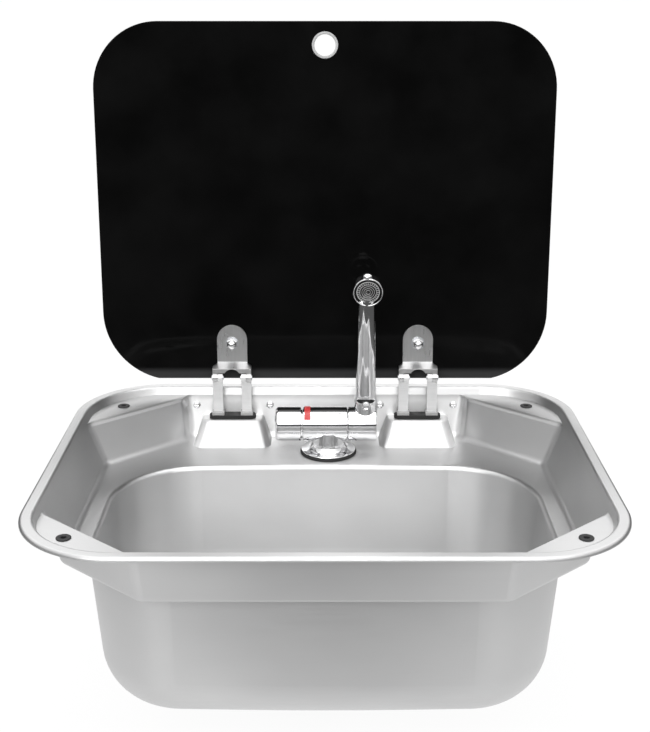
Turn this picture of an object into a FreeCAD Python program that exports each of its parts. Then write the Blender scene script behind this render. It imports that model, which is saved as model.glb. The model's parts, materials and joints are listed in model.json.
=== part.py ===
import FreeCAD, Part
import math
import os

# Caravan sink with a folding tap and a glass lid on two lift-and-turn hinges.
# Millimetres.  The origin is the centre of the rim's outline on the worktop plane,
# +Z is up and -Y is the front, where the user stands.  The lid stands open at rest.

# ---- pressed steel sink ----
SHEET = 0.8                 # thickness of the pressed sheet
RIM_WIDTH = 500.0
RIM_DEPTH = 400.0
RIM_BAND = 11.0             # flat band from the outer edge to the recess
RIM_TOP = 3.5               # top of the rim above the worktop
RIM_CORNER = 86.0
RIM_ROLL = 3.0              # radius of the rolled outer edge and of the recess's lip
RECESS_DRAFT = 3.0          # how far the upper wall leans in before the ledges
LEDGE_DROP = 8.0            # rim top to the corner ledges
SHELF_DROP = 55.0           # rim top to the shelf round the bowl
FLOOR_DROP = 190.0          # rim top to the bowl's floor
SHELF_LEAN = 14.0           # how far the side walls lean in from ledge to shelf
FRONT_LEAN = 16.5
REAR_LEDGE_WIDTH = 90.0     # side wall to the bay that holds tap and hinges
REAR_LEDGE_DEPTH = 87.0     # back wall to the rear ledge's end along the side wall
FRONT_LEDGE_WIDTH = 87.0    # side wall to the front ledge's end along the front wall
FRONT_LEDGE_DEPTH = 85.5
LEDGE_NOSE = 12.5           # back wall to the rear ledge's tip beside the bay
BAY_SIDE_LEAN = 5.0
CUT_SHIFT = 7.0             # drift of the diagonal walls' ends from ledge to shelf
WALL_CORNER = 13.0          # upright corners of the lower recess
BAY_NOSE = 8.0              # rounded nose where a diagonal wall meets the bay
BAY_CORNER = 6.5
LEDGE_SOFT = 3.6            # rounding along the ledges' free edges
FOOT_RADIUS = 6.0           # wall to shelf

SIDE_SHELF = 19.5           # shelf between the bowl and the walls round it
REAR_SHELF = 81.0
FRONT_SHELF = 11.0
BOWL_BOW = 5.0              # the front and back walls bow out by this much
BOWL_CORNER = 80.0
BOWL_BOW_RADIUS = 2600.0
BOWL_DRAFT = 10.0           # the walls lean in by this much down to the floor
BOWL_FLOOR_RADIUS = 50.0
BOWL_EDGE_RADIUS = 4.5

LEDGE_HOLE_SIDE = 28.0      # walls to the centre of a ledge hole
LEDGE_HOLE_END = 35.5
LEDGE_HOLE_R = 4.0

# ---- hinge bosses pressed out of the back wall ----
HINGE_INSET = 48.5          # bay's side to the hinge's centre
PAD_DROP = 30.0             # rim top to the boss's top face
PAD_TOP_HALF = 32.0
PAD_FOOT_HALF = 40.5
PAD_TOP_DEPTH = 19.0        # back wall to the boss's front edge, at its top and foot
PAD_FOOT_DEPTH = 34.5
PAD_CORNER = 9.0
PAD_EDGE = 3.5
SLOT_LENGTH = 47.0
SLOT_WIDTH = 11.0
COLLAR_MARGIN = 1.0         # rubber collar beyond the slot all round
COLLAR_HEIGHT = 4.0
COLLAR_FIT = 0.1

# ---- lid ----
GLASS = 5.0
GLASS_SIDE_GAP = 7.0        # recess's edge to the closed glass
GLASS_FRONT_GAP = 5.0
GLASS_BACK_GAP = 9.0
GLASS_TRIM = 2.0            # straight trim across the back edge
GLASS_FRONT_CORNER = 66.0
GLASS_BACK_CORNER = 73.0
GLASS_EDGE = 0.7
FINGER_FROM_EDGE = 23.0
FINGER_HOLE_R = 11.7
GROMMET_BORE_R = 10.5
GROMMET_FLANGE_R = 13.0
GROMMET_FLANGE = 1.0
BUFFER_HEAD_R = 6.2
BUFFER_STAND = 2.6
BUFFER_GAP = 0.2            # air between the closed glass and the buffers
BUFFER_BORE_R = 1.9
BUFFER_NECK = 2.4           # how far a buffer reaches below the ledge's sheet
BUFFER_GRIP = 1.2           # how much wider it is there than the hole

# ---- hinges ----
PIVOT_DEPTH = 10.0          # back wall to the hinge's axis
PIVOT_BELOW_GLASS = 12.8
STROKE = 32.5
OPEN_ANGLE = 94.5
LEG_WIDTH = 10.5
LEG_THICK = 2.5
LEG_INNER = 9.75            # hinge centre to the inner side of a leg
LEG_LENGTH = 108.0
KNUCKLE_R = 4.0
KNUCKLE_GAP = 0.2
PIN_R = 2.0
PIN_FIT = 0.05
BRACKET = 2.0
TONGUE_WIDTH = 31.5
TONGUE_START = 18.0         # from the glass's back edge
TONGUE_END = 58.0
SHOULDER_DEPTH = 9.5        # hinge's axis to the fold between arms and sloping shoulder
WINDOW_R = 9.0              # arch between the bracket's arms
WINDOW_DEPTH = 9.0          # hinge's axis to the top of the arch
NUT_FROM_EDGE = 38.5
BRACKET_PAD = 1.0
WALL_SCREW_X = 39.0
WALL_SCREW_DROP = 19.5
SCREW_R = 2.0
SCREW_HOLE_R = 2.25
BUSH_HEIGHT = 3.4
BUSH_WALL = 1.1
BUSH_NECK = 4.2
BUSH_HEAD = 5.6
LEG_FIT = 0.15

# ---- tap ----
TAP_DEPTH = 44.0            # back wall to the tap's axis
TAP_BASE_X = 3.5
TAP_AXIS_DROP = 24.0
TAP_R = 17.8
TAP_BODY_LEFT = -22.9
TAP_BODY_RIGHT = 23.0
KNOB_LEFT = -51.3
KNOB_GAP = 1.5
HUB_RIGHT = 52.7
HUB_GAP = 0.5
STEM_R = 9.0
STEM_LENGTH = 9.0
GASKET_R = 29.0
GASKET = 3.0
FLANGE_R = 28.0
NECK_R = 17.5
TAP_HOLE_R = 16.5
SHANK_R = 15.5
SHANK_LENGTH = 28.0
INLET_R = 5.0
INLET_SPACING = 15.0
INLET_LENGTH = 30.0
SPOUT_X = 41.5
SPOUT_FOOT_R = 12.0
SPOUT_TOP_R = 8.8
HEAD_HEIGHT = 144.8         # head's centre above the tap's axis
HEAD_R = 15.2
HEAD_TILT = 12.0
HEAD_DEPTH = 12.5

# ---- waste ----
WASTE_HOLE_R = 21.5
STRAINER_FLANGE_R = 33.0
STRAINER_SHEET = 1.0
CUP_R = 20.5
CUP_DEPTH = 11.0
STRAINER_HOLE_R = 1.75
TAIL_R = 12.5
TAIL_BORE_R = 10.0
TAIL_LENGTH = 20.0
WASTE_SEAL = 3.0
WASTE_R = 32.0
WASTE_FUNNEL = 26.0
WASTE_SCREW_R = 2.0
WASTE_HEAD_R = 4.2
WASTE_HEAD = 2.2
BAR_HALF = 1.5

# ---- small pieces ----
SEAL_OUTER = 3.2            # rim's outer edge to the seal
SEAL_INNER = 7.9
BOLT_R = 3.0
BOLT_HOLE_R = 3.2
BOLT_HEAD_R = 8.0
BOLT_HEAD = 1.8
BOLT_STICK_OUT = 5.5
GLASS_BOLT_HOLE_R = 4.0
WASHER = 0.8
WASHER_R = 7.0
CAP_NUT_R = 5.6
CAP_NUT_HEX = 4.2
CAP_NUT_DOME_R = 4.6
THREAD_FIT = 0.02           # radial gap in a nut or socket that holds its shank
PIN_HEAD_R = 2.8
PIN_HEAD = 0.8
KNUCKLE_NECK = 0.8          # knuckle's underside to the end of the strip
FORK_BRIDGE = 12.0
CARRIER = 2.0
CARRIER_FLOOR_Z = -70.0
CARRIER_MARGIN = 6.0        # carrier floor beyond the legs
CARRIER_GUSSET = 14.0
SCREW_LENGTH = 8.0
SCREW_HEAD_R = 4.0
SCREW_HEAD = 2.6
SCREW_DOME_R = 5.2
DRIVER_HALF = 2.2
DRIVER_SLOT_HALF = 0.45
DRIVER_DEPTH = 1.4
NUT_R = 4.0
NUT = 3.2
MARK_LEFT = -21.0
MARK_WIDTH = 6.0
MARK = 0.25
MARK_LOW = 9.9              # the mark's lower end above the tap's axis
MARK_BACK = 5.5
SOCKET_FLOOR = 8.0
SOCKET_STEP = 1.5           # hub socket's radius below the pipe's foot radius
HEAD_BACK = 0.5
AERATOR_R = 12.2
AERATOR_DEPTH = 4.0
AERATOR_SET_BACK = 1.2
AERATOR_GROOVE = 1.25
AERATOR_GROOVE_DEPTH = 1.2
AERATOR_RINGS = 4
END_CAP_R = 5.2
END_CAP = 7.7
END_CAP_BACK = 3.0
PIPE_TOP = 6.0              # pipe's end above the head's centre
GRUB_HEIGHT = 23.5
GRUB_R = 4.4
GRUB_STAND = 1.2
SHELF_WASHER = 2.0
SHELF_WASHER_R = 24.0
SHANK_NUT_R = 21.0
SHANK_NUT = 7.0
WING_REACH = 26.0
WING_HALF = 3.0

# ---- levels and places that follow ----
LEDGE_Z = RIM_TOP - LEDGE_DROP
SHELF_Z = RIM_TOP - SHELF_DROP
FLOOR_Z = RIM_TOP - FLOOR_DROP
PAD_Z = RIM_TOP - PAD_DROP
RIM_UNDER = RIM_TOP - SHEET
RECESS_HALF_X = RIM_WIDTH / 2 - RIM_BAND
RECESS_HALF_Y = RIM_DEPTH / 2 - RIM_BAND
WALL_X = RECESS_HALF_X - RECESS_DRAFT
WALL_Y = RECESS_HALF_Y - RECESS_DRAFT
GLASS_UNDER = LEDGE_Z + BUFFER_STAND + BUFFER_GAP
GLASS_TOP = GLASS_UNDER + GLASS
PIVOT_CLOSED_Z = GLASS_UNDER - PIVOT_BELOW_GLASS
PIVOT_OPEN_Z = PIVOT_CLOSED_Z + STROKE
WALL_SCREW_Z = RIM_TOP - WALL_SCREW_DROP
WALL_BACK = WALL_Y + SHEET
BAY_HALF = WALL_X - REAR_LEDGE_WIDTH
HINGE_X = BAY_HALF - HINGE_INSET
PIVOT_Y = WALL_Y - PIVOT_DEPTH
SHOULDER_Y = PIVOT_Y - SHOULDER_DEPTH
PAD_TOP_FRONT = WALL_Y - PAD_TOP_DEPTH
PAD_FOOT_FRONT = WALL_Y - PAD_FOOT_DEPTH
BOWL_HALF = WALL_X - SHELF_LEAN - SIDE_SHELF
BOWL_BACK = WALL_Y - REAR_SHELF
BOWL_FRONT = FRONT_LEAN - WALL_Y + FRONT_SHELF
LEDGE_HOLE_X = WALL_X - LEDGE_HOLE_SIDE
LEDGE_HOLE_Y = WALL_Y - LEDGE_HOLE_END
GLASS_HALF = RECESS_HALF_X - GLASS_SIDE_GAP
GLASS_FRONT = GLASS_FRONT_GAP - RECESS_HALF_Y
GLASS_BACK = RECESS_HALF_Y - GLASS_BACK_GAP
FINGER_Y = GLASS_FRONT + FINGER_FROM_EDGE
TAP_Y = WALL_Y - TAP_DEPTH
WASTE_Y = (BOWL_FRONT + BOWL_BACK) / 2
COLLAR_TOP = PAD_Z + COLLAR_HEIGHT
TAP_Z = RIM_TOP - TAP_AXIS_DROP
SHELF_UNDER = SHELF_Z - SHEET
FLOOR_UNDER = FLOOR_Z - SHEET

X_AXIS = FreeCAD.Vector(1, 0, 0)
Y_AXIS = FreeCAD.Vector(0, 1, 0)
Z_AXIS = FreeCAD.Vector(0, 0, 1)
TOLERANCE = 0.01


def vec(x, y, z=0.0):
    return FreeCAD.Vector(x, y, z)


def save(name, shape):
    shape.exportStep("parts/" + name + ".step")


def box(x0, x1, y0, y1, z0, z1):
    return Part.makeBox(x1 - x0, y1 - y0, z1 - z0, vec(x0, y0, z0))


def rod(radius, start, direction, length):
    return Part.makeCylinder(radius, length, start, direction)


def tube(outer, inner, start, direction, length):
    return rod(outer, start, direction, length).cut(rod(inner, start, direction, length))


def mirrored(shape):
    return shape.mirror(vec(0, 0), X_AXIS)


def largest(shape):
    return max(shape.Solids, key=lambda solid: solid.Volume)


def turned(points, x, y):
    """A profile of (radius, height) points turned about the upright line at (x, y)."""
    ring = [vec(r, 0, z) for r, z in points]
    face = Part.Face(Part.makePolygon(ring + ring[:1]))
    solid = face.revolve(vec(0, 0), Z_AXIS, 360)
    solid.translate(vec(x, y))
    return solid


def outline(corners, z):
    """A closed wire through rounded corners (x, y, radius), anticlockwise, at height z."""
    count = len(corners)
    arcs = []
    for i in range(count):
        x, y, radius = corners[i]
        here = vec(x, y, z)
        last = vec(corners[i - 1][0], corners[i - 1][1], z)
        following = corners[(i + 1) % count]
        back = (last - here).normalize()
        ahead = (vec(following[0], following[1], z) - here).normalize()
        half = back.getAngle(ahead) / 2
        reach = radius / math.tan(half)
        middle = (back + ahead).normalize() * (radius / math.sin(half) - radius)
        arcs.append((here + back * reach, here + middle, here + ahead * reach))
    edges = []
    for i in range(count):
        edges.append(Part.Arc(*arcs[i]).toShape())
        edges.append(Part.LineSegment(arcs[i][2], arcs[(i + 1) % count][0]).toShape())
    return Part.Wire(edges)


def grown(corners, grow):
    """The same rounded corners with every side moved outwards by grow."""
    count = len(corners)
    result = []
    for i in range(count):
        x, y, radius = corners[i]
        into = vec(x - corners[i - 1][0], y - corners[i - 1][1]).normalize()
        following = corners[(i + 1) % count]
        out = vec(following[0] - x, following[1] - y).normalize()
        turn = into.x * out.y - into.y * out.x
        side = vec(into.y, -into.x) + vec(out.y, -out.x)
        step = side * (grow / (1 + into.x * out.x + into.y * out.y))
        result.append((x + step.x, y + step.y, radius + (grow if turn > 0 else -grow)))
    return result


def symmetric(right_half):
    """Corners of the whole outline from those with x > 0, listed from front to back."""
    left = [(-x, y, r) for x, y, r in reversed(right_half)]
    return right_half + left


def plate(corners, z0, z1):
    return Part.Face(outline(corners, z0)).extrude(vec(0, 0, z1 - z0))


def six_sided(corner_radius, height):
    """Hexagonal prism on the origin."""
    turn = math.radians(60)
    corners = [
        vec(corner_radius * math.cos(turn * i), corner_radius * math.sin(turn * i))
        for i in range(6)
    ]
    return Part.Face(Part.makePolygon(corners + corners[:1])).extrude(vec(0, 0, height))


def stack(sections):
    return Part.makeLoft([outline(corners, z) for corners, z in sections], True, True)


def level_edges(shape, z, accept):
    """Edges that lie in the plane at height z and whose middle is accepted."""
    chosen = []
    for edge in shape.Edges:
        extent = edge.BoundBox
        if abs(extent.ZMin - z) < TOLERANCE and abs(extent.ZMax - z) < TOLERANCE:
            if accept(edge.CenterOfMass):
                chosen.append(edge)
    return chosen


def rectangle(half_x, half_y, radius):
    return symmetric([(half_x, -half_y, radius), (half_x, half_y, radius)])


# ---------------------------------------------------------------- pressed sink

def rim_corners():
    return rectangle(RIM_WIDTH / 2, RIM_DEPTH / 2, RIM_CORNER)


def recess_corners(draft):
    corner = RIM_CORNER - RIM_BAND - draft
    return rectangle(RECESS_HALF_X - draft, RECESS_HALF_Y - draft, corner)


def lower_corners(depth, lift):
    """Lower recess at a depth of 0 (ledges) to 1 (shelf).

    lift opens the diagonal walls outwards, for the soft edge along the ledges.
    """
    side = WALL_X - SHELF_LEAN * depth
    front = -WALL_Y + FRONT_LEAN * depth
    shift = CUT_SHIFT * depth
    rear_side = WALL_Y - REAR_LEDGE_DEPTH + shift + lift * 1.33
    front_side = FRONT_LEDGE_DEPTH - WALL_Y - shift * 0.7 - lift * 1.33
    nose_x = BAY_HALF + BAY_SIDE_LEAN - lift - shift * 0.5
    nose_y = WALL_Y - LEDGE_NOSE + lift * 2.2
    front_half = WALL_X - FRONT_LEDGE_WIDTH - shift * 0.2 - lift * 1.4
    right = [
        (front_half, front, WALL_CORNER),
        (side, front_side, WALL_CORNER),
        (side, rear_side, WALL_CORNER),
        (nose_x, nose_y, BAY_NOSE),
        (BAY_HALF - shift * 0.5 - lift, WALL_Y, BAY_CORNER),
    ]
    return symmetric(right)


def bowl_corners():
    right = [
        (BOWL_HALF, BOWL_FRONT + BOWL_BOW, BOWL_CORNER),
        (BOWL_HALF, BOWL_BACK - BOWL_BOW, BOWL_CORNER),
    ]
    back = [(0.0, BOWL_BACK, BOWL_BOW_RADIUS)]
    left = [(-x, y, r) for x, y, r in reversed(right)]
    front = [(0.0, BOWL_FRONT, BOWL_BOW_RADIUS)]
    return right + back + left + front


def lower_recess(grow):
    height = LEDGE_Z - SHELF_Z
    sections = []
    for drop, lift in ((0.0, 1.0), (0.293, 0.293), (1.0, 0.0)):
        depth = drop * LEDGE_SOFT / height
        corners = lower_corners(depth, lift * LEDGE_SOFT)
        sections.append((grown(corners, grow), LEDGE_Z - grow - drop * LEDGE_SOFT))
    sections.append((grown(lower_corners(1.0, 0.0), grow), SHELF_Z - grow))
    solid = stack(sections)
    foot = level_edges(solid, SHELF_Z - grow, everywhere)
    return solid.makeFillet(FOOT_RADIUS + grow, foot)


def bowl_space(grow):
    top = grown(bowl_corners(), grow)
    bottom = grown(bowl_corners(), grow - BOWL_DRAFT)
    solid = stack([(bottom, FLOOR_Z - grow), (top, SHELF_Z - grow)])
    foot = level_edges(solid, FLOOR_Z - grow, everywhere)
    return solid.makeFillet(BOWL_FLOOR_RADIUS + grow, foot)


def hinge_boss(grow):
    """Space behind one boss; the sheet lies between grow 0 and grow SHEET."""
    foot = [
        (PAD_FOOT_HALF, PAD_FOOT_FRONT, PAD_CORNER),
        (PAD_FOOT_HALF, WALL_BACK + 20, PAD_CORNER),
    ]
    top = [
        (PAD_TOP_HALF, PAD_TOP_FRONT, PAD_CORNER),
        (PAD_TOP_HALF, WALL_BACK + 20, PAD_CORNER),
    ]
    low = [
        (2 * PAD_FOOT_HALF - PAD_TOP_HALF, 2 * PAD_FOOT_FRONT - PAD_TOP_FRONT, PAD_CORNER),
        (2 * PAD_FOOT_HALF - PAD_TOP_HALF, WALL_BACK + 20, PAD_CORNER),
    ]
    height = PAD_Z - SHELF_Z
    solid = stack([
        (grown(symmetric(low), -grow), SHELF_Z - height - grow),
        (grown(symmetric(foot), -grow), SHELF_Z - grow),
        (grown(symmetric(top), -grow), PAD_Z - grow),
    ])
    rim = level_edges(solid, PAD_Z - grow, everywhere)
    solid = solid.makeFillet(PAD_EDGE - grow, rim)
    return solid


def everywhere(middle):
    return True


def at_recess(middle):
    return abs(middle.x) < RECESS_HALF_X + 3 and abs(middle.y) < RECESS_HALF_Y + 3


def at_bowl(middle):
    return abs(middle.x) < BOWL_HALF + 2 and BOWL_FRONT - 2 < middle.y < BOWL_BACK + 2


def tub(grow, top):
    """All the space inside the sink, down from the piece called top."""
    lip = RIM_TOP - grow
    upper = stack([
        (grown(recess_corners(RECESS_DRAFT), grow), LEDGE_Z - grow),
        (grown(recess_corners(0.0), grow), RIM_TOP),
    ])
    solid = top.fuse(upper).removeSplitter()
    solid = solid.makeFillet(RIM_ROLL - grow, level_edges(solid, lip, at_recess))
    solid = solid.fuse(lower_recess(grow)).fuse(bowl_space(grow)).removeSplitter()
    bowl_edge = level_edges(solid, SHELF_Z - grow, at_bowl)
    solid = solid.makeFillet(BOWL_EDGE_RADIUS - grow, bowl_edge)
    for x in (-HINGE_X, HINGE_X):
        boss = hinge_boss(grow)
        boss.translate(vec(x, 0))
        solid = solid.cut(boss)
    return solid


def rolled_rim():
    outer = plate(rim_corners(), 0, RIM_TOP)
    outer = outer.makeFillet(RIM_ROLL, level_edges(outer, RIM_TOP, everywhere))
    inner = plate(grown(rim_corners(), -SHEET), 0, RIM_UNDER)
    inner_top = level_edges(inner, RIM_UNDER, everywhere)
    inner = inner.makeFillet(RIM_ROLL - SHEET, inner_top)
    return outer.cut(inner)


def slot(x, length, width, y, z0, z1):
    corners = [
        (x + length / 2, y - width / 2, width / 2 - 0.01),
        (x + length / 2, y + width / 2, width / 2 - 0.01),
        (x - length / 2, y + width / 2, width / 2 - 0.01),
        (x - length / 2, y - width / 2, width / 2 - 0.01),
    ]
    return plate(corners, z0, z1)


def sink_shell():
    above = box(-RIM_WIDTH, RIM_WIDTH, -RIM_DEPTH, RIM_DEPTH, RIM_TOP, RIM_TOP + 10)
    shell = tub(SHEET, rolled_rim()).cut(tub(0.0, above))
    for x in (-LEDGE_HOLE_X, LEDGE_HOLE_X):
        for y in (-LEDGE_HOLE_Y, LEDGE_HOLE_Y):
            shell = shell.cut(rod(LEDGE_HOLE_R, vec(x, y, LEDGE_Z - 5), Z_AXIS, 10))
    for x in (-HINGE_X, HINGE_X):
        shell = shell.cut(slot(x, SLOT_LENGTH, SLOT_WIDTH, PIVOT_Y, PAD_Z - 3, PAD_Z + 3))
        for offset in (-WALL_SCREW_X, WALL_SCREW_X):
            start = vec(x + offset, WALL_Y - 5, WALL_SCREW_Z)
            shell = shell.cut(rod(SCREW_HOLE_R, start, Y_AXIS, 10))
    shell = shell.cut(rod(TAP_HOLE_R, vec(TAP_BASE_X, TAP_Y, SHELF_Z - 5), Z_AXIS, 10))
    shell = shell.cut(rod(WASTE_HOLE_R, vec(0, WASTE_Y, FLOOR_Z - 5), Z_AXIS, 10))
    return shell


def rim_seal():
    """Soft strip that lies in the rolled rim and rests on the worktop."""
    outer = plate(grown(rim_corners(), -SEAL_OUTER), 0, RIM_UNDER)
    return outer.cut(plate(grown(rim_corners(), -SEAL_INNER), -1, RIM_UNDER + 1))


def ledge_buffers():
    """Rubber stops in the four ledges, bored for the fixing screws."""
    head = LEDGE_Z + BUFFER_STAND
    neck = SHEET + BUFFER_NECK
    profile = [
        (BUFFER_BORE_R, head),
        (BUFFER_HEAD_R, head),
        (BUFFER_HEAD_R, LEDGE_Z),
        (LEDGE_HOLE_R, LEDGE_Z),
        (LEDGE_HOLE_R, LEDGE_Z - SHEET),
        (LEDGE_HOLE_R + BUFFER_GRIP, LEDGE_Z - SHEET),
        (LEDGE_HOLE_R + BUFFER_GRIP / 2, LEDGE_Z - neck),
        (BUFFER_BORE_R, LEDGE_Z - neck),
    ]
    solids = []
    for x in (-LEDGE_HOLE_X, LEDGE_HOLE_X):
        for y in (-LEDGE_HOLE_Y, LEDGE_HOLE_Y):
            solids.append(turned(profile, x, y))
    return Part.makeCompound(solids)


# ------------------------------------------------------------------------- lid
# Lid pieces are drawn closed, then swung and lifted into the open rest pose.

def opened(shape):
    shape = shape.copy()
    shape.rotate(vec(0, PIVOT_Y, PIVOT_CLOSED_Z), X_AXIS, -OPEN_ANGLE)
    shape.translate(vec(0, 0, STROKE))
    return shape


def lid_glass():
    corner = GLASS_BACK_CORNER
    back = GLASS_BACK + GLASS_TRIM
    corners = [
        (GLASS_HALF, GLASS_FRONT, GLASS_FRONT_CORNER),
        (GLASS_HALF, back, corner),
    ]
    pane = plate(symmetric(corners), GLASS_UNDER, GLASS_TOP)
    spare = box(-GLASS_HALF, GLASS_HALF, GLASS_BACK, back + 10, GLASS_UNDER - 1, GLASS_TOP + 1)
    pane = pane.cut(spare)
    rims = level_edges(pane, GLASS_UNDER, everywhere)
    rims += level_edges(pane, GLASS_TOP, everywhere)
    pane = pane.makeChamfer(GLASS_EDGE, rims)
    pane = pane.cut(rod(FINGER_HOLE_R, vec(0, FINGER_Y, GLASS_UNDER - 1), Z_AXIS, GLASS + 2))
    for x in (-HINGE_X, HINGE_X):
        start = vec(x, GLASS_BACK - NUT_FROM_EDGE, GLASS_UNDER - 1)
        pane = pane.cut(rod(GLASS_BOLT_HOLE_R, start, Z_AXIS, GLASS + 2))
    return pane


def finger_grommet():
    low = GLASS_UNDER - GROMMET_FLANGE
    high = GLASS_TOP + GROMMET_FLANGE
    profile = [
        (GROMMET_BORE_R, low),
        (GROMMET_FLANGE_R - 0.5, low),
        (GROMMET_FLANGE_R, low + 0.5),
        (GROMMET_FLANGE_R, GLASS_UNDER),
        (FINGER_HOLE_R - 0.1, GLASS_UNDER),
        (FINGER_HOLE_R - 0.1, GLASS_TOP),
        (GROMMET_FLANGE_R, GLASS_TOP),
        (GROMMET_FLANGE_R, high - 0.5),
        (GROMMET_FLANGE_R - 0.5, high),
        (GROMMET_BORE_R, high),
    ]
    return turned(profile, 0, FINGER_Y)


def tongue_outline(start, end, half, z0, z1):
    """Flat tongue under the glass with a round end towards the front."""
    near = GLASS_BACK - start
    far = GLASS_BACK - end
    flat = box(-half, half, far + half, near, z0, z1)
    return flat.fuse(rod(half, vec(0, far + half, z0), Z_AXIS, z1 - z0)).removeSplitter()


def bolt_hole(radius):
    return rod(radius, vec(0, GLASS_BACK - NUT_FROM_EDGE, GLASS_UNDER - 20), Z_AXIS, 40)


def bracket_pad():
    z1 = GLASS_UNDER
    pad = tongue_outline(TONGUE_START + 1, TONGUE_END - 1, TONGUE_WIDTH / 2 - 1,
                         z1 - BRACKET_PAD, z1)
    return pad.cut(bolt_hole(BOLT_HOLE_R))


def knuckle(x0, x1, z):
    return rod(KNUCKLE_R, vec(x0, PIVOT_Y, z), X_AXIS, x1 - x0)


def knuckle_bore(x0, x1, z):
    return rod(PIN_R + PIN_FIT, vec(x0 - 1, PIVOT_Y, z), X_AXIS, x1 - x0 + 2)


def lid_bracket():
    """Tongue, sloping shoulder and two knuckled arms, bent from one strip."""
    top = GLASS_UNDER - BRACKET_PAD
    low = top - BRACKET
    near = GLASS_BACK - TONGUE_START
    arm_end = PIVOT_Y - KNUCKLE_R - KNUCKLE_NECK
    arm_low = PIVOT_CLOSED_Z - BRACKET / 2
    side = [
        vec(0, near + 0.8, top),
        vec(0, near - 2.0, top),
        vec(0, near - 2.0, low),
        vec(0, near - 0.6, low),
        vec(0, SHOULDER_Y, arm_low),
        vec(0, arm_end, arm_low),
        vec(0, arm_end, arm_low + BRACKET),
        vec(0, SHOULDER_Y + 1.2, arm_low + BRACKET),
    ]
    outer = LEG_INNER + LEG_WIDTH
    strip = Part.Face(Part.makePolygon(side + side[:1])).extrude(vec(2 * outer, 0, 0))
    strip.translate(vec(-outer, 0, 0))
    half = TONGUE_WIDTH / 2
    flare = [
        vec(-half, near + 1, low - 20),
        vec(-half, near - 5, low - 20),
        vec(half, near - 5, low - 20),
        vec(half, near + 1, low - 20),
        vec(outer + 0.5, SHOULDER_Y - 1.5, low - 20),
        vec(outer + 0.5, PIVOT_Y + 5, low - 20),
        vec(-outer - 0.5, PIVOT_Y + 5, low - 20),
        vec(-outer - 0.5, SHOULDER_Y - 1.5, low - 20),
    ]
    strip = strip.common(Part.Face(Part.makePolygon(flare + flare[:1])).extrude(vec(0, 0, 60)))
    strip = strip.fuse(tongue_outline(TONGUE_START + 1, TONGUE_END, half, low, top))
    arch_y = PIVOT_Y - WINDOW_DEPTH + WINDOW_R
    window = rod(WINDOW_R, vec(0, arch_y, low - 30), Z_AXIS, 60)
    strip = strip.cut(window)
    bracket = strip
    for side_sign in (-1, 1):
        inner = LEG_INNER + LEG_WIDTH / 2 + KNUCKLE_GAP / 2
        x0, x1 = sorted((side_sign * inner, side_sign * outer))
        neck = box(x0, x1, arm_end - 0.1, PIVOT_Y, arm_low, arm_low + BRACKET)
        bracket = bracket.fuse(neck).fuse(knuckle(x0, x1, PIVOT_CLOSED_Z))
        bracket = bracket.cut(knuckle_bore(x0, x1, PIVOT_CLOSED_Z))
    bracket = bracket.removeSplitter()
    return bracket.cut(bolt_hole(BOLT_HOLE_R))


def lid_bolt():
    """Low-headed bolt from the outside of the glass."""
    y = GLASS_BACK - NUT_FROM_EDGE
    head = turned([
        (0, GLASS_TOP),
        (BOLT_HEAD_R, GLASS_TOP),
        (BOLT_HEAD_R - 1.2, GLASS_TOP + BOLT_HEAD),
        (0, GLASS_TOP + BOLT_HEAD),
    ], 0, y)
    end = GLASS_UNDER - BRACKET_PAD - BRACKET - WASHER - BOLT_STICK_OUT
    shank = rod(BOLT_R, vec(0, y, end), Z_AXIS, GLASS_TOP - end)
    return head.fuse(shank).removeSplitter()


def lid_washer():
    y = GLASS_BACK - NUT_FROM_EDGE
    z = GLASS_UNDER - BRACKET_PAD - BRACKET
    return tube(WASHER_R, BOLT_HOLE_R, vec(0, y, z - WASHER), Z_AXIS, WASHER)


def cap_nut():
    """Hexagon nut with a domed end, facing into the sink when the lid is shut."""
    y = GLASS_BACK - NUT_FROM_EDGE
    z = GLASS_UNDER - BRACKET_PAD - BRACKET - WASHER
    hexagon = six_sided(CAP_NUT_R, CAP_NUT_HEX)
    hexagon.translate(vec(0, 0, -CAP_NUT_HEX))
    dome = Part.makeSphere(CAP_NUT_DOME_R, vec(0, 0, -CAP_NUT_HEX))
    nut = hexagon.fuse(dome.common(box(-9, 9, -9, 9, -20, -CAP_NUT_HEX)))
    nut.translate(vec(0, y, z))
    bore = rod(BOLT_R + THREAD_FIT, vec(0, y, z - BOLT_STICK_OUT), Z_AXIS, BOLT_STICK_OUT + 1)
    return nut.cut(bore).removeSplitter()


# ---------------------------------------------------------------------- hinges
# Hinge pieces are drawn about x = 0 in the open pose and moved out to each side.

def hinge_legs():
    """Fork of two legs that slides through the boss, knuckled at the top."""
    bottom = PIVOT_OPEN_Z - LEG_LENGTH
    top = PIVOT_OPEN_Z - KNUCKLE_R - KNUCKLE_NECK
    outer = LEG_INNER + LEG_WIDTH
    half = LEG_THICK / 2
    fork = box(-outer, outer, PIVOT_Y - half, PIVOT_Y + half, bottom, top)
    gap = box(-LEG_INNER, LEG_INNER, PIVOT_Y - 5, PIVOT_Y + 5, bottom + FORK_BRIDGE, top + 1)
    fork = fork.cut(gap)
    for side_sign in (-1, 1):
        edge = LEG_INNER + LEG_WIDTH / 2 - KNUCKLE_GAP / 2
        x0, x1 = sorted((side_sign * LEG_INNER, side_sign * edge))
        neck = box(x0, x1, PIVOT_Y - half, PIVOT_Y + half, top - 0.1, PIVOT_OPEN_Z)
        fork = fork.fuse(neck).fuse(knuckle(x0, x1, PIVOT_OPEN_Z))
        fork = fork.cut(knuckle_bore(x0, x1, PIVOT_OPEN_Z))
    return fork.removeSplitter()


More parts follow.
